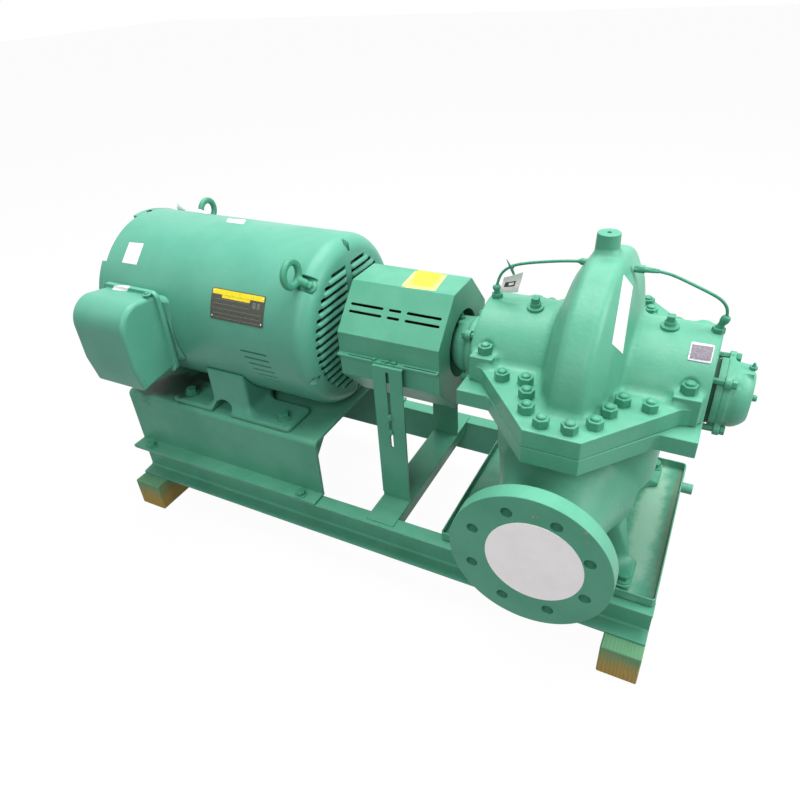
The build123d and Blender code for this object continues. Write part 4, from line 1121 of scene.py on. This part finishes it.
# %% [markdown]
# The motor's feet are castings with wide fillets, and the lifting eyes are forged, so both are resampled
# and closed with a fillet.

# %% Motor feet and lifting eyes
for name in ("motor_foot_near", "motor_foot_far"):
    cast_copy(name, 0.0026, 0.017, foot_paint)
cast_copy("lifting_eyes", 0.0014, 0.003, hardware_paint)

# %% [markdown]
# ## Guard and coupling
#
# The guard is bent sheet, so its edges have hardly any rounding. The coupling inside it is black rubber
# between two hubs and shows only through the gaps at the guard's ends.

# %% Guard and coupling
guard_upper = rounded_copy("guard_upper", 0.0007, steel_paint)
for name in ("guard_lower", "guard_leg_near", "guard_leg_far"):
    rounded_copy(name, 0.0007, steel_paint)
rounded_copy("guard_ends", 0.0004, steel_paint)
rounded_copy("guard_bolts", 0.0006, hardware_paint)
rounded_copy("coupling", 0.0015, rubber_black)

# %% [markdown]
# Open slots run along the guard's joint flange on both sides. They are too narrow to cut out of a
# bevelled sheet, so each is a plate of painted shade with round ends, let into the flange and a hair above
# it.

# %% Slots in the guard's flange
GUARD_SLOTS = ((-0.069, 0.001), (0.017, 0.0565), (0.075, 0.153))
SLOT_Y = 0.1462
SLOT_HALF = 0.0013
SLOT_BOTTOM = 0.5906
SLOT_TOP = 0.5930


def slot_outline(start, end, middle_y):
    """A long slot with round ends, in order round it."""
    outline = []
    for centre, first in ((end, -90), (start, 90)):
        for step in range(7):
            angle = math.radians(first + 30 * step)
            outline.append((centre + SLOT_HALF * math.cos(angle), middle_y + SLOT_HALF * math.sin(angle)))
    return outline


def flange_slots():
    """Plates of painted shade for the open slots along the guard's joint flange, on both sides."""
    bm = bmesh.new()
    for side in (-1, 1):
        for start, end in GUARD_SLOTS:
            prism(bm, slot_outline(start, end, side * SLOT_Y), SLOT_BOTTOM, SLOT_TOP)
    return make_piece("guard_flange_slots", outward(bm), painted_hole_shade)


flange_slots()
print("slots:", 2 * len(GUARD_SLOTS))

# %% [markdown]
# ## Pump casing
#
# The casing is one casting in two halves. The cast surfaces come from the resampled solid, with
# fillets where the volute and the cheeks meet the split flange. The split flanges and the corner pads
# were machined, so crisp plates with a small edge radius lie over the soft cast ones, a fraction of a
# millimetre proud, as a machined face and its rim do.

# %% Upper casing and machined plates
PROUD = 0.0004
UPPER_PLATE = ((0.226, 0.140), (0.195, 0.152), (0.0528, 0.3224))
LOWER_PLATE = ((0.236, 0.190), (0.165, 0.190), (0.0528, 0.3224))
UPPER_THICK = 0.038
LOWER_THICK = 0.0363
PAD_X, PAD_Y = 0.201, 0.112
PAD_WIDE, PAD_LONG, PAD_TOP = 0.050, 0.066, 0.058


def four_way(points):
    """A quarter outline mirrored over both middle planes of the pump, in order round it."""
    front = [(-x, -y) for x, y in points] + [(x, -y) for x, y in reversed(points)]
    back = [(x, y) for x, y in points] + [(-x, y) for x, y in reversed(points)]
    return [(PUMP_X + x, y) for x, y in front + back]


def split_plate(name, points, low, high):
    """One machined split flange, a little wider than the cast one under it."""
    bm = bmesh.new()
    prism(bm, four_way([(x + PROUD, y + PROUD) for x, y in points]), low, high)
    round_edges(outward(bm), 0.0022, 3)
    return keep_flats(make_piece(name, bm, casting_paint))


def corner_pads():
    """The four raised pads of the upper half."""
    bm = bmesh.new()
    half_x, half_y = PAD_WIDE / 2 + PROUD, PAD_LONG / 2 + PROUD
    for sx in (-1, 1):
        for sy in (-1, 1):
            x, y = PUMP_X + sx * PAD_X, sy * PAD_Y
            outline = ((x - half_x, y - half_y), (x + half_x, y - half_y),
                       (x + half_x, y + half_y), (x - half_x, y + half_y))
            prism(bm, outline, SHAFT_Z + 0.002, SHAFT_Z + PAD_TOP + PROUD)
    round_edges(outward(bm), 0.0026, 3)
    return keep_flats(make_piece("corner_pads", bm, casting_paint))


upper_body = cast_copy("casing_upper", 0.0032, 0.011, casting_paint)
split_plate("upper_split_flange", UPPER_PLATE, SHAFT_Z + PROUD, SHAFT_Z + UPPER_THICK + PROUD)
split_plate("lower_split_flange", LOWER_PLATE, SHAFT_Z - LOWER_THICK - PROUD, SHAFT_Z - PROUD)
corner_pads()

# %% [markdown]
# The lower half is cast in one with its two necks and its feet. The drilled port flanges are cut off
# first, because a fillet would soften their holes; they come back as crisp machined discs. Between the
# near and the far foot the casting is hollowed by a curved bay on each side, down to the pan.

# %% Lower casing
SUCTION_BACK = -0.3745
DISCHARGE_BACK = 0.3777
NECK_OVERLAP = 0.001
NECK_REACH = 0.012
BAY_X, BAY_WIDE, BAY_LONG = 0.180, 0.067, 0.142
BAY_BOTTOM = 0.15
BAY_TOP = SHAFT_Z - 0.262
BAY_POINTS = 48


def cut_away(bm, place, normal):
    """Removes what lies beyond a plane and closes the cut."""
    geometry = bm.verts[:] + bm.edges[:] + bm.faces[:]
    made = bmesh.ops.bisect_plane(bm, geom=geometry, plane_co=place, plane_no=normal, clear_outer=True)
    rim = [item for item in made["geom_cut"] if isinstance(item, bmesh.types.BMEdge)]
    bmesh.ops.holes_fill(bm, edges=rim, sides=0)
    return bm


def foot_bays():
    """The curved bays between the near and the far foot, on both sides of the pump."""
    bm = bmesh.new()
    for side in (-1, 1):
        outline = []
        for step in range(BAY_POINTS):
            angle = 2 * math.pi * step / BAY_POINTS
            x = PUMP_X + side * BAY_X + BAY_WIDE * math.cos(angle)
            outline.append((x, BAY_LONG * math.sin(angle)))
        prism(bm, outline, BAY_BOTTOM, BAY_TOP)
    return loose_object("bays", outward(bm))


def lower_body():
    """The cast lower half without its drilled flanges, its necks run a little into them."""
    bm = node_bmesh("casing_lower")
    for back, direction in ((SUCTION_BACK + NECK_OVERLAP, -1), (DISCHARGE_BACK - NECK_OVERLAP, 1)):
        cut_away(bm, (0, back, 0), (0, direction, 0))
    for back, direction in ((SUCTION_BACK + NECK_OVERLAP, -1), (DISCHARGE_BACK - NECK_OVERLAP, 1)):
        ends = [f for f in bm.faces if abs(f.calc_center_median().y - back) < 0.0002]
        extrude_by(bm, ends, (0, direction * NECK_REACH, 0))
        bmesh.ops.delete(bm, geom=ends, context="FACES")
    return cast_bmesh(outward(bm), 0.0043, 0.012, foot_bays())


def port_flanges():
    """The two drilled flanges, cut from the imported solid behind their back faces."""
    front = cut_away(node_bmesh("casing_lower"), (0, SUCTION_BACK, 0), (0, 1, 0))
    rear = cut_away(node_bmesh("casing_lower"), (0, DISCHARGE_BACK, 0), (0, -1, 0))
    join(front, rear)
    round_edges(outward(front), 0.0016)
    return keep_flats(make_piece("port_flanges", front, flange_paint))


body = lower_body()
print("lower body faces:", len(body.faces))
make_piece("casing_lower_cast", body, casting_paint, ("casing_lower",))
port_flanges()
rounded_copy("port_covers", 0.0004, film_white)

# %% [markdown]
# The tapped boss on the crown has a crisp turned top, a disc of painted shade for the hole in it and a
# round plug behind it.

# %% Vent boss
BOSS = ((0.0238, 0.262), (0.0224, 0.2984))
HOLE = ((0.0042, 0.2970), (0.0042, 0.2988))
PLUG = ((0.0075, 0.270), (0.0075, 0.2925), (0.0055, 0.2955), (0.001, 0.2965))
PLUG_SHIFT = (0.005, 0.024)


def vent_boss():
    """The tapped boss on the crown with its crisp top, a disc of painted shade for its hole and the plug
    behind.
    """
    middle = (PUMP_X, 0, SHAFT_Z)
    boss = bmesh.new()
    lathe(boss, middle, BOSS, 40)
    round_edges(outward(boss), 0.0012)
    keep_flats(make_piece("vent_boss", boss, casting_paint))
    # Painted shade: a dark disc where the hole would show its inner shade.
    hole = bmesh.new()
    lathe(hole, middle, HOLE, 20)
    make_piece("vent_hole", outward(hole), painted_hole_shade)
    plug = bmesh.new()
    lathe(plug, (PUMP_X + PLUG_SHIFT[0], PLUG_SHIFT[1], SHAFT_Z), PLUG, 16)
    make_piece("vent_plug", outward(plug), hardware_paint)


vent_boss()
print("boss top:", round(SHAFT_Z + BOSS[-1][1], 4), "m")

# %% [markdown]
# ## Nuts on their studs
#
# The split flange is held by hexagon nuts on studs. A nut has six flats, a chamfered top and a stud end
# that stands out of it in a low dome, all under the same paint. Each one stopped at its own angle.

# %% Casing nuts
NUT_FLATS = 0.0286
NUT_HIGH = 0.0175
NUT_ROUND = 0.0017
NUT_TURN = math.radians(17.0)
STUD_R = 0.0095
STUD_PLACES = ((0.143, 0.1746), (0.094, 0.1744), (0.078, 0.2182), (0.0635, 0.2654), (0.026, 0.2964))
PAD_STUD = (0.200, 0.120)
STUD_END = ((STUD_R, NUT_HIGH - 0.003), (STUD_R, NUT_HIGH + 0.0016), (STUD_R - 0.0007, NUT_HIGH + 0.0022),
            (STUD_R - 0.0001, NUT_HIGH + 0.0030), (STUD_R - 0.0012, NUT_HIGH + 0.0046),
            (STUD_R - 0.0045, NUT_HIGH + 0.0060), (0.0012, NUT_HIGH + 0.0065))


def add_nut(bm, place, turn):
    """One nut with the end of its stud."""
    corner = NUT_FLATS / math.sqrt(3)
    nut = bmesh.new()
    lathe(nut, place, ((corner * 1.02, -0.0006), (corner, 0.0008), (corner, NUT_HIGH)), 6, turn)
    round_edges(outward(nut), NUT_ROUND)
    lathe(nut, place, STUD_END, 20)
    join(bm, outward(nut))


def casing_nuts():
    """All nuts of the split flange and of the corner pads."""
    bm = bmesh.new()
    count = 0
    for level, places in ((UPPER_THICK, STUD_PLACES), (PAD_TOP, (PAD_STUD,))):
        for x, y in places:
            for sx in (-1, 1):
                for sy in (-1, 1):
                    place = (PUMP_X + sx * x, sy * y, SHAFT_Z + level + PROUD)
                    add_nut(bm, place, NUT_TURN * count)
                    count += 1
    print("nuts:", count)
    nuts = make_piece("casing_nuts_made", bm, hardware_paint, ("casing_nuts",))
    return keep_flats(nuts)


casing_nuts()

# %% [markdown]
# ## Bearings, plugs and bolts
#
# The bearing housings are castings too, with small fillets. The plugs, screws and caps are turned or
# hexagon parts with small rounded edges.

# %% Bearings, plugs and bolts
for name in ("bearing_outboard", "bearing_inboard"):
    cast_copy(name, 0.0017, 0.004, casting_paint)
for name, width in (("bearing_end_cap", 0.0006), ("cheek_plugs", 0.0012),
                    ("bearing_screws", 0.0008), ("grease_nipples", 0.0005), ("foot_bolts", 0.0010)):
    rounded_copy(name, width, hardware_paint)

# %% [markdown]
# Between each cheek and its bearing housing lies a gap. The gland's ring stands in it, in the dark, and its
# paint is darkened as painted shade; the housing has a turned shoulder that leaves only a narrow slit. Both
# are spun without caps, because their inner sides lie against the shaft's sleeve and don't show.

# %% Gland rings and bearing shoulders
GLAND = ((0.050, 0.2355), (0.0665, 0.2355), (0.0675, 0.2395), (0.0650, 0.2430), (0.0650, 0.2450),
         (0.050, 0.2450))
SHOULDER = ((0.050, 0.2442), (0.0672, 0.2442), (0.0688, 0.2450), (0.0688, 0.2572), (0.050, 0.2572))


def turned_rings(name, profile, paint):
    """A ring beside each cheek, turned from radii and distances from the pump's middle."""
    bm = bmesh.new()
    for side in (-1, 1):
        mirrored = [(radius, side * far) for radius, far in profile]
        lathe(bm, (PUMP_X, 0, SHAFT_Z), mirrored, 56, axis=ALONG_SHAFT, capped=False)
    return make_piece(name, outward(bm), paint)


# The gland rings wear painted shade, darker for the gap they stand in.
turned_rings("gland_rings", GLAND, gap_shade_paint)
turned_rings("bearing_shoulders", SHOULDER, casting_paint)
print("shoulder width:", round((SHOULDER[-1][1] - SHOULDER[0][1]) * 1000, 1), "mm")

# %% [markdown]
# ## Flush lines
#
# Compression elbows stand on hexagon bases over the stuffing boxes, and two unions enter the volute. All
# are turned parts under thick paint, so their profiles have soft shoulders.

# %% Flush fittings
CHEEK_R = 0.130
NUT_BASE = 0.009
BASE_R = 0.0127
UNION_UP = 0.234
FITTINGS = ((-1, 0.219, 8.0, 0.019), (1, 0.225, 21.0, 0.027))
ELBOW = ((0.0066, 0.35), (0.0086, 0.55), (0.0090, 0.75), (0.0074, 0.93), (0.0042, 1.0))
LEFT_UNION = ((0.0062, -0.020), (0.0070, -0.0385), (0.0070, -0.0460), (0.0042, -0.0505), (0.0040, -0.053))
RIGHT_UNION = ((0.0078, 0.055), (0.0078, 0.0740), (0.0058, 0.0765), (0.0044, 0.0960), (0.0040, 0.101))


def flush_fittings():
    """Compression elbows on hexagon bases over the stuffing boxes, and the unions on the volute."""
    bm = bmesh.new()
    for side, foot, lean, length in FITTINGS:
        seat = Vector((PUMP_X + side * foot, 0, SHAFT_Z + CHEEK_R))
        base = bmesh.new()
        lathe(base, seat, ((BASE_R, -0.003), (BASE_R, NUT_BASE)), 6)
        round_edges(outward(base), 0.0012)
        elbow = bmesh.new()
        rest = [(radius, length * share) for radius, share in ELBOW]
        lathe(elbow, (0, 0, 0), [(0.0078, -0.002), (0.0066, 0.003)] + rest, 20)
        turn = Matrix.Rotation(side * math.radians(lean), 4, "Y")
        shift = Matrix.Translation(seat + Vector((0, 0, NUT_BASE)))
        bmesh.ops.transform(elbow, matrix=shift @ turn, verts=elbow.verts)
        join(bm, outward(base))
        join(bm, outward(elbow))
    for profile, flats in ((LEFT_UNION, 20), (RIGHT_UNION, 6)):
        union = bmesh.new()
        lathe(union, (PUMP_X, 0, SHAFT_Z + UNION_UP), profile, flats, axis=ALONG_SHAFT)
        join(bm, outward(union))
    made = make_piece("flush_fittings_made", bm, hardware_paint, ("flush_fittings",))
    return keep_flats(made)


flush_fittings()
print("fittings:", 2 * len(FITTINGS))

# %% [markdown]
# The flush lines are 6 mm tube bent by hand between the unions on the volute and the elbows over the
# stuffing boxes. Each is one smooth curve through a few points with a round bevel, turned into a mesh.

# %% Flush lines
TUBE_R = 0.003
LEFT_LINE = ((-0.050, 0.234), (-0.075, 0.2315), (-0.120, 0.2235), (-0.160, 0.2150), (-0.188, 0.2060),
             (-0.208, 0.1910), (-0.2175, 0.1720), (-0.2205, 0.1560))
RIGHT_LINE = ((0.098, 0.234), (0.112, 0.2330), (0.132, 0.2285), (0.165, 0.2165), (0.196, 0.2050),
              (0.2175, 0.1950), (0.2290, 0.1830), (0.2330, 0.1700), (0.2335, 0.1600))


def tube_mesh(points):
    """A round tube along a smooth curve through points in X and Z, counted from the pump's middle."""
    curve = bpy.data.curves.new("tube_path", "CURVE")
    curve.dimensions = "3D"
    curve.bevel_depth = TUBE_R
    curve.bevel_resolution = 3
    curve.resolution_u = 6
    curve.use_fill_caps = True
    spline = curve.splines.new("NURBS")
    spline.points.add(len(points) - 1)
    for point, (x, z) in zip(spline.points, points):
        point.co = (PUMP_X + x, 0.0, SHAFT_Z + z, 1.0)
    spline.order_u = 3
    spline.use_endpoint_u = True
    holder = bpy.data.objects.new("tube_path", curve)
    bpy.context.scene.collection.objects.link(holder)
    seen = holder.evaluated_get(bpy.context.evaluated_depsgraph_get())
    mesh = bpy.data.meshes.new_from_object(seen)
    bpy.data.objects.remove(holder)
    bpy.data.curves.remove(curve)
    return mesh


def flush_lines():
    """Both lines as one piece."""
    bm = bmesh.new()
    for points in (LEFT_LINE, RIGHT_LINE):
        mesh = tube_mesh(points)
        bm.from_mesh(mesh)
        bpy.data.meshes.remove(mesh)
    return make_piece("flush_lines_made", bm, tubing_paint, ("flush_lines",))


flush_lines()
print("tube:", TUBE_R * 2000, "mm across")

# %% [markdown]
# ## Labels and plates
#
# The stickers lie on the surface that carries them, bent to it, so they hold from every side. Rays find
# where a label lies: from the eye through a pixel of the picture, straight down, or toward the shaft.

# %% Rays


def shaft_side(x, lean, radius):
    """A point at a radius from the shaft, leaned from upright toward -Y."""
    angle = math.radians(lean)
    return Vector((x, -radius * math.sin(angle), SHAFT_Z + radius * math.cos(angle)))


def pixel_ray(u, v):
    """The direction from the eye through a pixel of the picture."""
    return (ahead + right * ((u - CENTRE_PIXEL[0]) / FOCAL_PIXELS)
            + down * ((v - CENTRE_PIXEL[1]) / FOCAL_PIXELS)).normalized()


def from_eye(pair):
    """A ray from the eye through a pixel."""
    return EYE, pixel_ray(pair[0], pair[1])


def from_above(pair):
    """A ray straight down at an X and Y."""
    return Vector((pair[0], pair[1], 1.2)), Vector((0.0, 0.0, -1.0))


def toward_shaft(pair):
    """A ray toward the shaft at an X and a lean in degrees."""
    start = shaft_side(pair[0], pair[1], 0.4)
    return start, (shaft_side(pair[0], pair[1], 0.0) - start).normalized()


# %% [markdown]
# A label is a grid whose vertices are moved to where the rays meet the carrier, a hair above it, and
# its back reaches just under the carrier's surface.

# %% Patches
LABEL_SUNK = 0.0001


def unit_grid(bm, cells):
    """A flat square of so many cells a side, from zero to one in X and Y."""
    bmesh.ops.create_grid(bm, x_segments=cells, y_segments=cells, size=0.5,
                          matrix=Matrix.Translation((0.5, 0.5, 0.0)))


def between(corners, u, v):
    """A place among four corners: u runs from the first to the second, v from the first to the last."""
    a, b, c, d = (Vector(corner) for corner in corners)
    return (a * (1 - u) + b * u) * (1 - v) + (d * (1 - u) + c * u) * v


def patch(name, carrier, aim, corners, material, lift=0.0005, cells=8):
    """A thin label on a carrier: rays at a grid between four corner pairs find where it lies."""
    tree = BVHTree.FromObject(carrier, bpy.context.evaluated_depsgraph_get())
    bm = bmesh.new()
    unit_grid(bm, cells)
    backs = {}
    for vert in bm.verts:
        start, toward = aim(between(corners, vert.co.x, vert.co.y))
        place, normal, _, _ = tree.ray_cast(start, toward)
        away = normal if normal.dot(toward) < 0 else -normal
        vert.co = place + away * lift
        backs[tuple(vert.co)] = place - away * LABEL_SUNK
    for vert in extrude_by(bm, bm.faces[:], (0, 0, 0)):
        vert.co = backs[tuple(vert.co)]
    return make_piece(name, outward(bm), material)


# %% [markdown]
# Most stickers are plain white paper. The guard's label is a cream sheet with a yellow field on it, and
# was laid from above by its corners, because the eye sees that face at too flat an angle.

# %% Stickers
MOTOR_STICKER = ((129.6, 242.4), (143.6, 243.6), (136.4, 264.8), (122.0, 262.4))
BOX_STICKER = ((114.4, 285.4), (130.0, 286.0), (127.0, 291.2), (112.4, 289.6))
CROWN_STICKER = ((623.8, 275.0), (632.5, 286.6), (622.5, 353.8), (612.0, 343.8))
TOP_STICKER = ((228.0, 218.8), (246.0, 220.0), (243.6, 224.2), (226.4, 222.0))
GUARD_LABEL = ((0.0165, 0.0535), (0.0972, 0.0511), (0.1077, -0.0443), (0.0252, -0.0521))
GUARD_FIELD = ((0.0225, 0.0480), (0.0860, 0.0460), (0.0950, -0.0300), (0.0420, -0.0350))

patch("motor_sticker", motor_body, from_eye, MOTOR_STICKER, paper_white)
patch("box_sticker", terminal_box, from_eye, BOX_STICKER, paper_white)
patch("top_sticker", motor_body, from_eye, TOP_STICKER, paper_white)
patch("guard_label", guard_upper, from_above, GUARD_LABEL, label_cream, 0.0004)
patch("guard_label_field", guard_upper, from_above, GUARD_FIELD, label_yellow, 0.0007)
patch("crown_sticker", upper_body, from_eye, CROWN_STICKER, paper_white, 0.0006, 14)

# %% [markdown]
# The data plate on the motor is a thin dark plate with a yellow band along its top, a yellow tab below
# it and pale rules where its fields are. Each of these is a strip laid on the plate by rays that run
# toward the shaft, so they follow its curve.

# %% Data plate
PLATE_X = -0.334
PLATE_LEAN = 64.0
PLATE_WIDE = 0.157
PLATE_HIGH = 0.074
BAND_TOP = -PLATE_HIGH / 2 + 0.002
BAND_HALF = PLATE_WIDE / 2 - 0.003
RULE_HIGH = 0.0014
RULES = ((-0.013, 0.034), (-0.002, 0.034), (0.009, 0.070), (0.020, 0.070), (0.030, 0.070))
RIVET_R = 0.0021
RIVET_IN = (0.006, 0.008)


def plate_strip(name, x0, x1, v0, v1, material, cells=6):
    """A strip on the data plate: x along the shaft and v down its curve, from its middle."""
    lean0 = PLATE_LEAN + math.degrees(v0 / MOTOR_R)
    lean1 = PLATE_LEAN + math.degrees(v1 / MOTOR_R)
    corners = ((PLATE_X + x0, lean0), (PLATE_X + x1, lean0), (PLATE_X + x1, lean1), (PLATE_X + x0, lean1))
    return patch(name, data_plate, toward_shaft, corners, material, 0.0004, cells)


def plate_rivets():
    """A small domed rivet in each corner of the plate."""
    bm = bmesh.new()
    for x in (-1, 1):
        for v in (-1, 1):
            lean = PLATE_LEAN + math.degrees(v * (PLATE_HIGH / 2 - RIVET_IN[1]) / MOTOR_R)
            place = shaft_side(PLATE_X + x * (PLATE_WIDE / 2 - RIVET_IN[0]), lean, MOTOR_R + 0.0012)
            bmesh.ops.create_uvsphere(bm, u_segments=10, v_segments=6, radius=RIVET_R,
                                      matrix=Matrix.Translation(place))
    return make_piece("plate_rivets", bm, bright_metal)


data_plate = rounded_copy("motor_nameplate", 0.0002, plate_dark)
plate_strip("plate_band", -BAND_HALF, BAND_HALF, BAND_TOP, BAND_TOP + 0.012, plate_yellow)
plate_strip("plate_tab", -0.046, 0.036, BAND_TOP + 0.0125, BAND_TOP + 0.0195, plate_yellow)
for count, (level, reach) in enumerate(RULES):
    plate_strip("plate_rule_" + str(count), -0.070, reach, level, level + RULE_HIGH, plate_rule)
for count, x in enumerate((0.046, 0.058)):
    plate_strip("plate_field_" + str(count), x, x + 0.008, -0.018, -0.004, plate_rule, 2)
plate_rivets()
print("rules on the plate:", len(RULES))

# %% [markdown]
# The tag on the pump's cheek is an etched metal plate: its field is darker, and the metal is left
# bright round it.

# %% Cheek tag
TAG_FIELD = ((692.4, 344.2), (713.8, 347.2), (710.4, 361.4), (689.4, 358.2))

tag = rounded_copy("cheek_tag", 0.0002, plate_metal)
patch("tag_field", tag, from_eye, TAG_FIELD, tag_dark, 0.0003, 4)
print("faces on the tag:", len(tag.data.polygons))

# %% [markdown]
# ## Paper
#
# A paper tag hangs on the left flush line by a green cable tie. The paper is a thin bent sheet with a
# plain black rectangle and a white window in it. Cloth could be dropped to bend it, but so small a
# sheet only needs one soft curve each way.

# %% Paper tag
TAG_SHEET = ((0.2429, 0.7381), (0.2507, 0.7730), (0.2926, 0.7910), (0.2830, 0.7437))
TAG_FRONT = -0.0044


def sheet_point(u, v):
    """A place on the bent sheet: u runs along it, v up it."""
    x, z = between(TAG_SHEET, v, u)
    return Vector((x, TAG_FRONT - 0.003 * math.sin(math.pi * u) - 0.002 * math.sin(2.2 * math.pi * v), z))


def sheet_piece(name, u_range, v_range, material, lift, cells=6, thickness=0.0004):
    """A part of the sheet between two shares each way, lifted toward the viewer, with a thickness."""
    bm = bmesh.new()
    unit_grid(bm, cells)
    for vert in bm.verts:
        u = u_range[0] + (u_range[1] - u_range[0]) * vert.co.x
        v = v_range[0] + (v_range[1] - v_range[0]) * vert.co.y
        vert.co = sheet_point(u, v) - Vector((0, lift, 0))
    extrude_by(bm, bm.faces[:], (0, thickness, 0))
    return make_piece(name, outward(bm), material)


sheet_piece("paper_tag", (0.0, 1.0), (0.0, 1.0), paper_white, 0.0)
sheet_piece("paper_tag_field", (0.16, 0.74), (0.36, 0.62), ink_black, 0.0005, 4, 0.0003)
sheet_piece("paper_tag_window", (0.40, 0.66), (0.44, 0.56), paper_white, 0.0008, 3, 0.0003)
print("tag corners:", len(TAG_SHEET))

# %% [markdown]
# The cable tie is a flat band round the tube. Its section is an ellipse spun once round the tube's axis,
# and its tail stands up as a thin tapering strip.

# %% Cable tie
TIE_LOOP = (0.2675, 0.0, 0.7975)
TIE_R = 0.0046
TIE_THICK = 0.0012
TIE_WIDE = 0.0024
TIE_POINTS = 6
TAIL_Y = -0.0055
TIE_TAIL = ((0.2745, 0.7790, 0.0016), (0.2705, 0.7880, 0.0030), (0.2655, 0.7975, 0.0028),
            (0.2600, 0.8070, 0.0014), (0.2556, 0.8140, 0.0003))


def cable_tie():
    """A loop round the tube and a tail that stands up and narrows to its end."""
    bm = bmesh.new()
    turns = [2 * math.pi * step / TIE_POINTS for step in range(TIE_POINTS)]
    band = [(TIE_R + TIE_THICK * math.cos(turn), TIE_WIDE * math.sin(turn)) for turn in turns]
    lathe(bm, TIE_LOOP, band, 24, axis=ALONG_SHAFT, looped=True, capped=False)
    corners = ((-1, -1), (1, -1), (1, 1), (-1, 1))
    skin(bm, [[(x + wide * a, TAIL_Y + TIE_THICK * b, z) for a, b in corners] for x, z, wide in TIE_TAIL])
    return make_piece("cable_tie", outward(bm), hardware_paint)


cable_tie()
print("tie loop:", TIE_R * 2000, "mm across")

# %% [markdown]
# Scraps of paper tag and cable tie are left round the far lifting eye. Each is a small bent sheet that
# rests against the barrel, held by the eye.

# %% Paper at the far eye
EYE_SCRAPS = (((-0.7580, 0.1030), (-0.7240, 0.1000), 0.030), ((-0.6900, 0.1000), (-0.6480, 0.1000), 0.014))
SCRAP_SUNK = 0.0030


def paper_scraps():
    """Two bent scraps that stand on the barrel."""
    bm = bmesh.new()
    for start, end, high in EYE_SCRAPS:
        scrap = bmesh.new()
        unit_grid(scrap, 4)
        for vert in scrap.verts:
            u, v = vert.co.x, vert.co.y
            x, y = Vector(start).lerp(Vector(end), u)
            foot = SHAFT_Z + math.sqrt(MOTOR_R ** 2 - y ** 2) - SCRAP_SUNK
            lift = high * v * (0.75 + 0.25 * math.sin(5.0 * u))
            vert.co = (x, y - 0.006 * math.sin(math.pi * v), foot + lift)
        extrude_by(scrap, scrap.faces[:], (0, 0.0004, 0))
        join(bm, outward(scrap))
    return make_piece("paper_scraps", bm, paper_white)


paper_scraps()
print("scraps:", len(EYE_SCRAPS))

# %% [markdown]
# ## Sizes for the record
#
# The last cell counts the triangles of every piece and names the heavy ones.

# %% Sizes for the record
HEAVY = 60000

triangles = 0
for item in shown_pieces():
    item.data.calc_loop_triangles()
    count = len(item.data.loop_triangles)
    triangles += count
    if count > HEAVY:
        print("heavy piece:", item.name, count)
print("triangles:", triangles)
